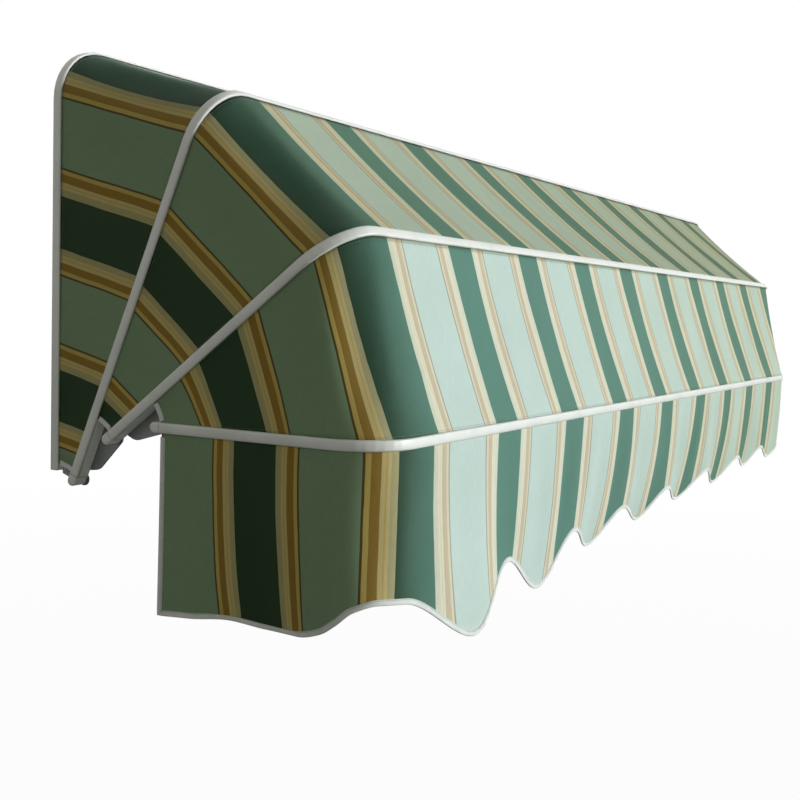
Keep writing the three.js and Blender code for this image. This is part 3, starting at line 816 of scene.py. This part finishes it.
@dataclass(frozen=True)
class BindingTape:
    """White ribbed tape folded over the cloth's edges.

    Args:
        name: of the material.
        colour: of the tape.
        rib: distance between ribs along the tape.
    """

    name: str = "white_binding_tape"
    colour: tuple = (0.85, 0.86, 0.83)
    rib: float = 0.0016

    def build(self) -> bpy.types.Material:
        """Makes the material, which reads the tape's own UV: u along it and v round it.

        Returns:
            The material.
        """
        sheet = NodeSheet(self.name)
        uv = sheet.add("ShaderNodeUVMap", {"uv_map": CLOTH_UV}).outputs[0]
        along = sheet.add("ShaderNodeSeparateXYZ", None, Vector=uv).outputs[0]
        ribs = sheet.math("SINE", sheet.math("MULTIPLY", along, 2 * math.pi / self.rib))
        soil = sheet.noise(uv, 30.0, 4.0, 0.6)
        grey = tuple(0.84 * part for part in self.colour)
        tint = sheet.ramp(soil, [(0.35, grey), (0.7, self.colour)])
        height = sheet.math("ADD", sheet.math("MULTIPLY", ribs, 0.5), soil)
        bump = sheet.add("ShaderNodeBump", None, Height=height, Strength=0.3, Distance=0.0005).outputs[0]
        return sheet.surface(Base_Color=tint, Roughness=0.7, Sheen_Weight=0.1, Normal=bump)


@dataclass(frozen=True)
class SewingThread:
    """Dull thread of the stitches.

    Args:
        colour: of the thread.
    """

    colour: tuple = (0.24, 0.29, 0.22)

    def build(self) -> bpy.types.Material:
        """Makes the material.

        Returns:
            The material.
        """
        sheet = NodeSheet("sewing_thread")
        place = sheet.add("ShaderNodeTexCoord").outputs["Object"]
        twist = sheet.noise(place, 900.0, 2.0)
        low = tuple(0.8 * part for part in self.colour)
        colour = sheet.ramp(twist, [(0.3, low), (0.7, self.colour)])
        return sheet.surface(Base_Color=colour, Roughness=0.65)


@dataclass
class Finishes:
    """All materials of the awning, built once.

    Args:
        cloth: of panels and valance.
        profile: of bows and end caps.
        cast: of brackets, clips and hinge plates.
        steel: of screws, rivets, pins and washers.
        binding: of the tapes.
        thread: of the stitches.
    """

    cloth: bpy.types.Material = field(default_factory=lambda: StripedCloth().build())
    profile: bpy.types.Material = field(default_factory=lambda: CoatedAluminium().build())
    cast: bpy.types.Material = field(
        default_factory=lambda: PlainMetal("grey_casting", (0.30, 0.31, 0.30), 0.42, 420.0, 0.35).build(),
    )
    steel: bpy.types.Material = field(
        default_factory=lambda: PlainMetal(
            "zinc_plated_steel", (0.46, 0.47, 0.47), 0.28, 300.0, 0.12,
        ).build(),
    )
    binding: bpy.types.Material = field(default_factory=lambda: BindingTape().build())
    thread: bpy.types.Material = field(default_factory=lambda: SewingThread().build())


# Cloth pieces.


@dataclass
class Binding:
    """Tape folded over a cloth edge.

    Args:
        depth: how far it reaches over the cloth.
        half_thickness: from the cloth's middle to the tape's face.
    """

    depth: float = 0.0062
    half_thickness: float = 0.0016

    def section(self) -> np.ndarray:
        """Rounded section of the folded tape.

        Returns:
            Its points, as (across the cloth, out from its edge).
        """
        angles = np.linspace(-0.1 * math.pi, 1.1 * math.pi, 9)
        nose = np.stack([np.cos(angles), np.sin(angles) + 0.2], axis=-1) * self.half_thickness
        heel = np.array([[-0.85, 0.0], [0.85, 0.0]]) * self.half_thickness - [0.0, self.depth]
        return np.concatenate([nose, heel])


def stitch_tree(material: bpy.types.Material) -> bpy.types.NodeTree:
    """Builds the tree that lays stitches along an edge line.

    Args:
        material: of the thread.

    Returns:
        A tree with the inputs Pitch, Length and Radius.
    """
    tree = bpy.data.node_groups.new("stitch_row", "GeometryNodeTree")
    tree.interface.new_socket("Geometry", in_out="INPUT", socket_type="NodeSocketGeometry")
    for name, value in (("Pitch", 0.0042), ("Length", 0.0030), ("Radius", 0.0002)):
        socket = tree.interface.new_socket(name, in_out="INPUT", socket_type="NodeSocketFloat")
        socket.default_value = value
    tree.interface.new_socket("Geometry", in_out="OUTPUT", socket_type="NodeSocketGeometry")
    nodes, links = tree.nodes, tree.links
    start, end = nodes.new("NodeGroupInput"), nodes.new("NodeGroupOutput")
    line = nodes.new("GeometryNodeMeshToCurve")
    spaced = nodes.new("GeometryNodeCurveToPoints")
    spaced.mode = "LENGTH"
    stitch = nodes.new("GeometryNodeMeshCylinder")
    stitch.inputs["Vertices"].default_value = 6
    laid = nodes.new("GeometryNodeInstanceOnPoints")
    realize = nodes.new("GeometryNodeRealizeInstances")
    dress = nodes.new("GeometryNodeSetMaterial")
    dress.inputs["Material"].default_value = material
    links.new(start.outputs["Geometry"], line.inputs["Mesh"])
    links.new(line.outputs["Curve"], spaced.inputs["Curve"])
    links.new(start.outputs["Pitch"], spaced.inputs["Length"])
    links.new(start.outputs["Radius"], stitch.inputs["Radius"])
    links.new(start.outputs["Length"], stitch.inputs["Depth"])
    links.new(spaced.outputs["Points"], laid.inputs["Points"])
    links.new(spaced.outputs["Rotation"], laid.inputs["Rotation"])
    links.new(stitch.outputs["Mesh"], laid.inputs["Instance"])
    links.new(laid.outputs["Instances"], realize.inputs["Geometry"])
    links.new(realize.outputs["Geometry"], dress.inputs["Geometry"])
    links.new(dress.outputs["Geometry"], end.inputs["Geometry"])
    return tree


def sew(name: str, rows: Sequence[np.ndarray], tree: bpy.types.NodeTree, pitch: float) -> bpy.types.Object:
    """Lays stitches along rows of points and makes them a plain mesh.

    Args:
        name: name of the piece.
        rows: polylines.
        tree: the stitch tree.
        pitch: from one stitch to the next.

    Returns:
        The mesh object of all stitches.
    """
    points = np.concatenate(rows)
    edges, first = [], 0
    for row in rows:
        edges += [(first + k, first + k + 1) for k in range(len(row) - 1)]
        first += len(row)
    mesh = bpy.data.meshes.new(name + "_line")
    mesh.from_pydata([tuple(p) for p in points], edges, [])
    carrier = bpy.data.objects.new(name + "_line", mesh)
    bpy.context.scene.collection.objects.link(carrier)
    modifier = carrier.modifiers.new("stitches", "NODES")
    modifier.node_group = tree
    for item in tree.interface.items_tree:
        if item.in_out == "INPUT" and item.name == "Pitch":
            modifier[item.identifier] = pitch
    bpy.context.view_layer.update()
    graph = bpy.context.evaluated_depsgraph_get()
    plain = bpy.data.meshes.new_from_object(carrier.evaluated_get(graph), depsgraph=graph)
    plain.name = name
    carrier.modifiers.clear()
    bpy.data.objects.remove(carrier)
    piece = bpy.data.objects.new(name, plain)
    bpy.context.scene.collection.objects.link(piece)
    return piece


@dataclass
class CanopyPanel:
    """Cloth between two neighbouring bows, with its stitches and the bindings of its lower edges.

    Args:
        node: CAD node that it stands for.
        back: bow behind it.
        front: bow before it.
        start_back: where it begins up the back bow's leg.
        start_front: where it begins up the front bow's leg.
        band_start: where the corner's band begins on the left end, at the back bow and at the front bow.
        green_start: where the corner's green stripe begins, likewise.
        stripe_start: where the front's even stripes begin, likewise.
        stripe_spread: how wide the stripes are at the two bows, as shares of the pattern.
        sag: how far the cloth draws in midway at the corners.
        flat_share: share of that by which it draws in on the legs and the bar.
        corner_reach: how far round the bend the corner's pull is felt, in radians.
        ripple: height of the faint ripples across the rulings.
        thickness: of the cloth.
        leg_steps: rulings on a leg.
        corner_steps: rulings in a corner.
        bar_steps: rulings on the bar.
        rows: steps along a ruling.
        stitch_distance: from the groove to its row of stitches.
        fold_pull: how much the cloth gathers towards the bows as it folds.
        binding: tape of the lower edges.
    """

    node: str
    back: Bow
    front: Bow
    start_back: float
    start_front: float
    band_start: tuple[float, float]
    green_start: tuple[float, float]
    stripe_start: tuple[float, float]
    stripe_spread: tuple[float, float]
    sag: float
    flat_share: float = 0.35
    corner_reach: float = 0.55
    ripple: float = 0.0012
    thickness: float = 0.0007
    leg_steps: int = 22
    corner_steps: int = 20
    bar_steps: int = 110
    rows: int = 22
    stitch_distance: float = 0.006
    fold_pull: float = 0.05
    binding: Binding = field(default_factory=Binding)

    def __post_init__(self) -> None:
        """Works out the rulings from the back bow's groove to the front bow's."""
        steps = (self.leg_steps, self.corner_steps, self.bar_steps)
        route_back = self.back.route(self.start_back, *steps)
        route_front = self.front.route(self.start_front, *steps)
        profile = self.back.profile
        self.route = route_back
        self.from_points = self.back.points(route_back, profile.groove_depth, profile.groove_offset)
        self.to_points = self.front.points(route_front, profile.groove_depth, -profile.groove_offset)
        self.places = self.ruling_places()
        self.grid = self.shaped_grid()

    def ruling_places(self) -> np.ndarray:
        """Distance of each ruling from the awning's left end, measured along the cloth.

        Returns:
            One distance for each ruling.
        """
        ruling = self.to_points - self.from_points
        ruling /= np.linalg.norm(ruling, axis=1, keepdims=True)
        middle = (self.from_points + self.to_points) / 2
        step = np.diff(middle, axis=0)
        way = (ruling[1:] + ruling[:-1]) / 2
        step -= (step * way).sum(axis=1, keepdims=True) * way
        place = np.concatenate([[0], np.cumsum(np.linalg.norm(step, axis=1))])
        return place + self.back.half_width - np.interp(0.0, middle[:, 0], place)

    def pattern(self) -> np.ndarray:
        """Place of every point of the grid across the woven stripes.

        Returns:
            An array of rulings by rows.
        """
        woven = StripedCloth()
        green_end = woven.green_start + woven.green_width
        band_start = woven.green_start - sum(width for width, _ in woven.band(woven.shaded_yarns))
        last = int(np.argmax((self.route.angle < 1.55) & (self.route.side > 0))) - 1
        columns = []
        for share in np.linspace(0, 1, self.rows + 1):
            band, green, start, spread = (
                pair[0] * (1 - share) + pair[1] * share
                for pair in (self.band_start, self.green_start, self.stripe_start, self.stripe_spread)
            )
            flat = self.from_points[:, 0] * (1 - share) + self.to_points[:, 0] * share
            flat = flat + self.back.half_width
            turn = start + spread * woven.green_width
            knots = [band - 1.0, band, green, turn]
            woven_places = [band_start - 1.0, band_start, woven.green_start, green_end]
            column = np.interp(self.places, knots, woven_places)
            column = np.where(self.places > turn, green_end + (flat - turn) / spread, column)
            column[last:] = column[last] + self.places[last:] - self.places[last]
            columns.append(column)
        return np.stack(columns, axis=1)

    def shaped_grid(self) -> np.ndarray:
        """Points of the cloth's middle surface, drawn in between the bows.

        Returns:
            An array of rulings, rows and 3.
        """
        share = np.linspace(0, 1, self.rows + 1)
        flat = self.from_points[:, None] * (1 - share)[None, :, None]
        flat = flat + self.to_points[:, None] * share[None, :, None]
        normals = grid_normals(flat)
        bulge = 4 * share * (1 - share)
        corner = np.exp(-((self.route.angle - math.pi / 4) / self.corner_reach) ** 2)
        on_leg = np.clip((self.route.along - self.start_back) / (self.back.length - self.start_back), 0, 1)
        flats = self.flat_share * np.where(self.route.angle > 1.5, 1.0, on_leg)
        pull = self.sag * np.maximum(corner, flats)
        ripple = self.ripple * np.sin(self.places * 41.0 + 1.3 * np.sin(self.places * 13.0))
        outward = self.route.outward_x[:, None] * normals[..., 0]
        outward = outward + self.route.outward_up[:, None] * normals[..., 2]
        sign = np.where(np.median(outward) > 0, -1.0, 1.0)
        return flat + normals * (sign * (pull + ripple)[:, None] * bulge[None, :])[..., None]

    def share_forward(self, points: np.ndarray) -> np.ndarray:
        """How far points lie from the back bow (0) to the front bow (1).

        Args:
            points: array of points.

        Returns:
            An array of shares.
        """
        offset = self.back.profile.groove_offset
        middle = len(self.from_points) // 2
        way = self.to_points[middle] - self.from_points[middle]
        way = way / np.linalg.norm(way)
        before = ((points - self.back.origin) @ self.back.forward - offset) / (way @ self.back.forward)
        after = ((self.front.origin - points) @ self.front.forward - offset) / (way @ self.front.forward)
        return np.clip(before / np.maximum(before + after, 1e-6), 0, 1)

    def bend_with_bows(self, piece: bpy.types.Object) -> None:
        """Lets a piece fold between the two bows, each point by its place between them.

        Args:
            piece: a finished mesh.
        """
        middle = len(self.from_points) // 2
        start, end = tuple(self.from_points[middle]), tuple(self.to_points[middle])
        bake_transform(piece, self.back.body, self.front.body, start, end)
        points = np.array([v.co for v in piece.data.vertices])
        share = self.share_forward(points)
        folded = share - self.fold_pull * np.sin(2 * math.pi * share)
        piece.data.attributes[BLEND_WEIGHTS].data.foreach_set("value", folded.astype(np.float32))

    def build(self, finishes: Finishes, stitches: bpy.types.NodeTree) -> None:
        """Makes the panel's pieces.

        Args:
            finishes: materials.
            stitches: tree for the stitches.
        """
        lengths = np.linalg.norm(np.diff(self.grid, axis=1), axis=2)
        along = np.concatenate([np.zeros((len(lengths), 1)), np.cumsum(lengths, axis=1)], axis=1)
        uv = np.stack([self.pattern(), along], axis=-1)
        cloth = two_sided_cloth(self.node + "_cloth", self.grid, uv, self.thickness)
        turn_outwards(cloth)
        cloth.data.materials.append(finishes.cloth)
        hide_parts(self.node)
        trims = [self.bind(side, finishes) for side in Side]
        seam = self.seams(finishes, stitches)
        for piece in (cloth, seam, *trims):
            self.bend_with_bows(piece)

    @property
    def back_node(self) -> str:
        """CAD node of the bow behind."""
        return "wall_bow" if self.back.body == "wall_frame" else self.back.body

    @property
    def front_node(self) -> str:
        """CAD node of the bow before."""
        return self.front.body

    def bind(self, side: Side, finishes: Finishes) -> bpy.types.Object:
        """Binding of the free lower edge at one end.

        Args:
            side: which end.
            finishes: materials.

        Returns:
            The piece.
        """
        row = 0 if side is Side.LEFT else -1
        line = self.grid[row]
        room = self.back.profile.width / 2 - self.back.profile.groove_offset + 0.001
        length = np.concatenate([[0], np.cumsum(np.linalg.norm(np.diff(line, axis=0), axis=1))])
        places = np.linspace(room, length[-1] - room, 24)
        path = np.stack([np.interp(places, length, line[:, k]) for k in range(3)], axis=-1)
        inner = self.grid[1 if side is Side.LEFT else -2]
        out = np.stack([np.interp(places, length, (line - inner)[:, k]) for k in range(3)], axis=-1)
        way = np.gradient(path, axis=0)
        way /= np.linalg.norm(way, axis=1, keepdims=True)
        out -= (out * way).sum(axis=1, keepdims=True) * way
        out /= np.linalg.norm(out, axis=1, keepdims=True)
        across = np.cross(way, out)
        piece = sweep(f"{self.node}_edge_{side.name.lower()}", path, across, out, self.binding.section())
        piece.data.materials.append(finishes.binding)
        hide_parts(f"{self.node}_binding_{side.name.lower()}")
        return piece

    def seams(self, finishes: Finishes, stitches: bpy.types.NodeTree) -> bpy.types.Object:
        """Rows of stitches beside the two grooves, on the outer face.

        Args:
            finishes: materials.
            stitches: tree for the stitches.

        Returns:
            The piece.
        """
        normals = grid_normals(self.grid)
        sign = 1.0 if float(np.mean(normals[len(normals) // 2] @ np.array([0, -1.0, 1.0]))) > 0 else -1.0
        lift = sign * (self.thickness / 2 + 0.0002)
        rows = []
        for grid, lifts in ((self.grid, normals), (self.grid[:, ::-1], normals[:, ::-1])):
            step = np.linalg.norm(grid[:, 1] - grid[:, 0], axis=1)
            share = np.minimum(self.stitch_distance / step, 0.9)[2:-2, None]
            surface = grid[2:-2, 0] * (1 - share) + grid[2:-2, 1] * share
            rows.append(surface + (lifts[2:-2, 0] * (1 - share) + lifts[2:-2, 1] * share) * lift)
        piece = sew(f"{self.node}_stitches", rows, stitches, STITCH_PITCH)
        return piece


@dataclass
class Valance:
    """Hanging cloth on the front bow, its hem cut in waves, with one binding round its edges.

    Args:
        bow: the front bow.
        start: where it begins up the bow's leg.
        hem_points: (place, depth, inward swing) of the hem, from the left end's free edge to the right
            end's. The place is measured along the groove from the left corner.
        green_starts: where the green stripes begin along the front, from the awning's left end.
        band_start: where the corner's band begins, measured like the hem's places.
        side_spread: share by which the stripes on the left end are closer together.
        gather: height of the faint gathers.
        thickness: of the cloth.
        leg_steps: stations on a leg.
        corner_steps: stations in a corner.
        bar_steps: stations on the bar.
        rows: steps from the groove to the hem.
        folded_share: share of its height that is left when the awning is folded. Not used.
        binding: tape of the hem and the upright edges.
    """

    bow: Bow
    start: float = 0.012
    hem_points: tuple = (
        (-0.330, 0.2545, -0.006), (-0.270, 0.254, 0.010), (-0.208, 0.249, 0.022), (-0.150, 0.2525, 0.026),
        (-0.095, 0.252, 0.022), (-0.058, 0.242, 0.014), (-0.024, 0.222, 0.004), (0.000, 0.203, 0.000),
        (0.030, 0.195, 0.000), (0.075, 0.199, -0.002), (0.228, 0.271, -0.027), (0.385, 0.203, 0.003),
        (0.535, 0.275, 0.015), (0.665, 0.202, 0.009), (0.790, 0.251, 0.030), (0.925, 0.199, 0.013),
        (1.065, 0.244, 0.030), (1.185, 0.194, 0.008), (1.340, 0.239, 0.033), (1.500, 0.190, 0.010),
        (1.630, 0.236, 0.029), (1.790, 0.189, 0.010), (1.905, 0.222, 0.022), (2.028, 0.184, 0.006),
        (2.150, 0.222, 0.014), (2.280, 0.190, 0.000), (2.350, 0.225, 0.000), (2.480, 0.246, 0.006),
        (2.630, 0.250, 0.000),
    )
    green_starts: tuple = (0.054, 0.330, 0.585, 0.846, 1.095, 1.344, 1.584, 1.800, 2.024, 2.266)
    band_start: float = 0.004
    side_spread: float = 0.952
    gather: float = 0.0016
    thickness: float = 0.0007
    leg_steps: int = 40
    corner_steps: int = 26
    bar_steps: int = 480
    rows: int = 30
    folded_share: float = 0.16
    binding: Binding = field(default_factory=Binding)

    def __post_init__(self) -> None:
        """Works out the cloth's middle surface."""
        self.route = self.bow.route(self.start, self.leg_steps, self.corner_steps, self.bar_steps)
        profile = self.bow.profile
        self.top = self.bow.points(self.route, profile.groove_depth, profile.groove_offset)
        inward = np.zeros_like(self.top)
        inward[:, 0] = -self.route.outward_x
        inward[:, 1] = self.route.outward_up
        self.inward = inward
        self.depth, self.hem_swing = self.hem()
        share = np.linspace(0, 1, self.rows + 1)
        self.share = share
        self.grid = self.top[:, None].repeat(len(share), axis=1)
        self.grid = self.grid + inward[:, None] * self.swing_at(share)[..., None]
        self.grid[..., 2] -= self.depth[:, None] * share[None, :]

    def swing_at(self, share: np.ndarray) -> np.ndarray:
        """How far the cloth hangs in.

        Args:
            share: shares of the cloth's depth.

        Returns:
            An array of stations by shares.
        """
        places = self.distance()
        gathers = self.gather * np.sin(places * 58.0 + 2.0 * np.sin(places * 9.0))
        hanging = self.hem_swing[:, None] * share[None, :] ** 2
        return hanging + gathers[:, None] * np.sin(math.pi * share)[None, :]

    def distance(self) -> np.ndarray:
        """Distance of each station from the awning's left end, measured along the groove.

        Returns:
            One distance for each station.
        """
        step = np.linalg.norm(np.diff(self.top, axis=0), axis=1)
        place = np.concatenate([[0], np.cumsum(step)])
        centre = np.interp(0.0, self.top[:, 0], place)
        return place - centre + self.bow.half_width

    def hem(self) -> tuple[np.ndarray, np.ndarray]:
        """Shape of the hem.

        Returns:
            Its depth and its inward swing at each station.
        """
        points = np.array(self.hem_points)
        places = self.distance()
        depth, swing = (curve_through(places, points[:, 0], points[:, k]) for k in (1, 2))
        return depth, swing

    def pattern(self) -> np.ndarray:
        """Place of each station across the woven stripes.

        Returns:
            One place for each station.
        """
        places = self.distance()
        cloth = StripedCloth()
        band_start = cloth.green_start - sum(width for width, _ in cloth.band(cloth.shaded_yarns))
        starts = np.array([self.band_start - self.side_spread, self.band_start, *self.green_starts])
        greens = cloth.green_start + cloth.repeat * np.arange(len(self.green_starts))
        pattern = np.interp(places, starts, [band_start - 1.0, band_start, *greens])
        last = int(np.argmax((self.route.angle < 1.55) & (self.route.side > 0))) - 1
        pattern[last:] = pattern[last] + places[last:] - places[last]
        return pattern

    def flatten(self, piece: bpy.types.Object) -> None:
        """Lets a piece ride on the bow.

        Args:
            piece: a finished mesh.
        """
        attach(piece, self.bow.body)
        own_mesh(piece)

    def build(self, finishes: Finishes, stitches: bpy.types.NodeTree) -> None:
        """Makes the valance's pieces.

        Args:
            finishes: materials.
            stitches: tree for the stitches.
        """
        down = self.depth[:, None] * self.share[None, :]
        uv = np.stack([np.broadcast_to(self.pattern()[:, None], down.shape), down], axis=-1)
        cloth = two_sided_cloth("valance_cloth", self.grid, uv, self.thickness)
        turn_outwards(cloth)
        cloth.data.materials.append(finishes.cloth)
        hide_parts("valance")
        tape, rows = self.bind(finishes)
        seam = sew("valance_stitches", rows, stitches, STITCH_PITCH)
        for piece in (cloth, tape, seam):
            self.flatten(piece)

    def bind(self, finishes: Finishes) -> tuple[bpy.types.Object, list[np.ndarray]]:
        """Binding down the left edge, along the hem and up the right edge.

        Args:
            finishes: materials.

        Returns:
            The piece, and the rows that its stitches follow.
        """
        room = self.bow.profile.width / 2 - self.bow.profile.groove_offset + 0.001
        left, hem, right = self.grid[0], self.grid[:, -1], self.grid[-1][::-1]
        left = left[left[:, 2] < left[0, 2] - room]
        right = right[right[:, 2] < right[-1, 2] - room]
        path = np.concatenate([left[:-1], hem, right[1:]])
        before = self.inward[:1].repeat(len(left) - 1, 0)
        after = self.inward[-1:].repeat(len(right) - 1, 0)
        inward = np.concatenate([before, self.inward, after])
        way = np.gradient(path, axis=0)
        way /= np.linalg.norm(way, axis=1, keepdims=True)
        out = np.cross(inward, way)
        out /= np.linalg.norm(out, axis=1, keepdims=True)
        across = np.cross(way, out)
        piece = sweep("valance_edge_tape", path, across, out, self.binding.section())
        piece.data.materials.append(finishes.binding)
        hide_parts("valance_binding")
        seam_line = path - out * (self.binding.depth - 0.0012)
        lift = across * (self.binding.half_thickness * 0.9)
        return piece, [seam_line + lift, seam_line - lift]


# Hard parts, light and camera.


def dress_frame(frame: dict, finishes: Finishes) -> None:
    """Gives each CAD node its finish by its slot in the record.

    Args:
        finishes: materials.
    """
    by_slot = {
        Slot.PROFILE.value: finishes.profile,
        Slot.CAST.value: finishes.cast,
        Slot.STEEL.value: finishes.steel,
        Slot.CLOTH.value: finishes.cloth,
        Slot.BINDING.value: finishes.binding,
    }
    slots = {part["node"]: part["material_slot"] for part in frame["record"]["subparts"]}
    for name, node in frame["nodes"].items():
        material = by_slot[slots[name]]
        if not node.material_slots:
            node.data.materials.append(material)
        for holder in node.material_slots:
            holder.material = material
    LOG.info("dressed %d nodes of the frame", len(frame["nodes"]))


@dataclass(frozen=True)
class Studio:
    """Soft light, pale floor and camera.

    Args:
        eye: place of the camera.
        heading: turn of its view from +Y towards +X, in degrees.
        pitch: of its view above the level, in degrees.
        roll: of the picture, in degrees.
        lens: in millimetres on a sensor 36 mm wide.
        floor: height of the floor.
        floor_reach: from the floor's middle to its edges.
        floor_glow: share of white that the camera sees in the floor close by.
        glow_reach: where that share begins to rise, and where it is whole.
        ambient: strength of the even light.
        key: strength of the main lamp.
        key_way: in which its light travels.
        fill: strength of the second lamp.
        fill_way: in which its light travels.
    """

    eye: tuple = (-2.2587, -1.2508, -0.3384)
    heading: float = 59.3
    pitch: float = -4.97
    roll: float = 2.03
    lens: float = 49.68
    floor: float = -2.4
    floor_reach: float = 60.0
    floor_glow: float = 0.97
    glow_reach: tuple = (4.0, 12.0)
    ambient: float = 0.17
    key: float = 4.7
    key_way: tuple = (-0.50, 0.86, -0.03)
    fill: float = 0.25
    fill_way: tuple = (0.85, 0.35, -0.25)

    def camera(self) -> None:
        """Adds the camera."""
        heading, pitch, roll = (math.radians(a) for a in (self.heading, self.pitch, self.roll))
        forward = Vector((math.sin(heading), math.cos(heading), 0.0))
        ahead = forward * math.cos(pitch) + Vector((0.0, 0.0, math.sin(pitch)))
        level = Vector((math.cos(heading), -math.sin(heading), 0.0))
        upright = level.cross(ahead)
        right = level * math.cos(roll) + upright * math.sin(roll)
        above = upright * math.cos(roll) - level * math.sin(roll)
        data = bpy.data.cameras.new("camera")
        data.lens = self.lens
        data.sensor_width = 36.0
        data.clip_end = 100.0
        camera = bpy.data.objects.new("camera", data)
        turn = Matrix((right, above, -ahead)).transposed().to_4x4()
        camera.matrix_world = Matrix.Translation(self.eye) @ turn
        bpy.context.scene.collection.objects.link(camera)
        bpy.context.scene.camera = camera

    def lamp(self, name: str, strength: float, way: tuple, angle: float, colour: tuple) -> None:
        """Adds a soft distant lamp.

        Args:
            name: of the lamp.
            strength: of its light.
            way: in which its light travels.
            angle: how wide it looks, in degrees.
            colour: of its light.
        """
        data = bpy.data.lights.new(name, "SUN")
        data.energy = strength
        data.angle = math.radians(angle)
        data.color = colour
        lamp = bpy.data.objects.new(name, data)
        lamp.rotation_euler = Vector(way).to_track_quat("-Z", "Y").to_euler()
        bpy.context.scene.collection.objects.link(lamp)

    def world(self) -> None:
        """Adds a white background and a weak even light."""
        world = bpy.data.worlds.new("studio")
        bpy.context.scene.world = world
        world.use_nodes = True
        nodes, links = world.node_tree.nodes, world.node_tree.links
        nodes.clear()
        rays = nodes.new("ShaderNodeLightPath")
        seen = nodes.new("ShaderNodeMath")
        seen.operation = "MAXIMUM"
        clear = nodes.new("ShaderNodeMath")
        clear.operation = "MAXIMUM"
        links.new(rays.outputs["Is Camera Ray"], seen.inputs[0])
        links.new(rays.outputs["Is Glossy Ray"], seen.inputs[1])
        links.new(seen.outputs[0], clear.inputs[0])
        links.new(rays.outputs["Is Transmission Ray"], clear.inputs[1])
        even, white = nodes.new("ShaderNodeBackground"), nodes.new("ShaderNodeBackground")
        even.inputs["Color"].default_value = (0.95, 1.0, 0.90, 1.0)
        even.inputs["Strength"].default_value = self.ambient
        white.inputs["Color"].default_value = (1.0, 1.0, 1.0, 1.0)
        white.inputs["Strength"].default_value = 1.0
        mix, end = nodes.new("ShaderNodeMixShader"), nodes.new("ShaderNodeOutputWorld")
        links.new(clear.outputs[0], mix.inputs[0])
        links.new(even.outputs[0], mix.inputs[1])
        links.new(white.outputs[0], mix.inputs[2])
        links.new(mix.outputs[0], end.inputs[0])

    def ground(self) -> None:
        """Adds the floor: white to the camera, with a faint shadow."""
        edge = self.floor_reach * np.array([[-1, -1], [1, -1], [1, 1], [-1, 1]])
        ends = np.column_stack([edge, np.full(4, self.floor)])
        floor = mesh_object("floor", ends, [[0, 1, 2, 3]], smooth=False)
        sheet = NodeSheet("pale_floor")
        matt = sheet.add("ShaderNodeBsdfDiffuse", None, Color=(0.45, 0.45, 0.45, 1.0))
        glow = sheet.add("ShaderNodeEmission", None, Color=(1.0, 1.0, 1.0, 1.0), Strength=1.0)
        rays = sheet.add("ShaderNodeLightPath").outputs["Is Camera Ray"]
        place = sheet.add("ShaderNodeTexCoord").outputs["Object"]
        away = sheet.add("ShaderNodeVectorMath", {"operation": "LENGTH"})
        sheet.put(away.inputs[0], place)
        far = sheet.eased(away.outputs["Value"], *self.glow_reach)
        glowing = sheet.math("ADD", self.floor_glow, sheet.math("MULTIPLY", far, 1.0 - self.floor_glow))
        mix = sheet.add("ShaderNodeMixShader")
        sheet.put(mix.inputs[0], sheet.math("MULTIPLY", rays, glowing))
        sheet.put(mix.inputs[1], matt.outputs[0])
        sheet.put(mix.inputs[2], glow.outputs[0])
        sheet.add("ShaderNodeOutputMaterial", None, Surface=mix.outputs[0])
        floor.data.materials.append(sheet.material)

    def build(self) -> None:
        """Sets the whole studio."""
        self.camera()
        self.lamp("key_light", self.key, self.key_way, 30.0, (0.95, 1.0, 1.0))
        self.lamp("fill_light", self.fill, self.fill_way, 60.0, (1.0, 0.97, 0.85))
        self.world()
        self.ground()
        bpy.context.scene.view_settings.view_transform = "Standard"


def corners(box: Sequence) -> list:
    """A box as plain lists of numbers."""
    return [[float(value) for value in corner] for corner in box]


def main() -> None:
    """Builds the dressed awning in order."""
    logging.basicConfig(level=logging.INFO, format="%(name)s: %(message)s")
    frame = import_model()
    finishes = Finishes()
    wall, bow_1, bow_2, front = read_bows(frame)
    stitches = stitch_tree(finishes.thread)
    dress_frame(frame, finishes)
    panels = [
        CanopyPanel(
            "back_panel", wall, bow_1, start_back=0.010, start_front=0.012, band_start=(-0.037, -0.032),
            green_start=(0.006, 0.010), stripe_start=(0.040, 0.040), stripe_spread=(0.93, 0.93), sag=0.010,
        ),
        CanopyPanel(
            "middle_panel", bow_1, bow_2, start_back=0.105, start_front=0.012, band_start=(-0.031, -0.029),
            green_start=(0.008, 0.012), stripe_start=(0.040, 0.040), stripe_spread=(0.93, 0.965), sag=0.012,
        ),
        CanopyPanel(
            "front_panel", bow_2, front, start_back=0.105, start_front=0.012, band_start=(-0.020, -0.002),
            green_start=(0.013, 0.045), stripe_start=(0.032, 0.079), stripe_spread=(0.9775, 1.0145),
            sag=0.010,
        ),
    ]
    for panel in panels:
        panel.build(finishes, stitches)
    Valance(front).build(finishes, stitches)
    Studio().build()


if __name__ == "__main__":
    main()
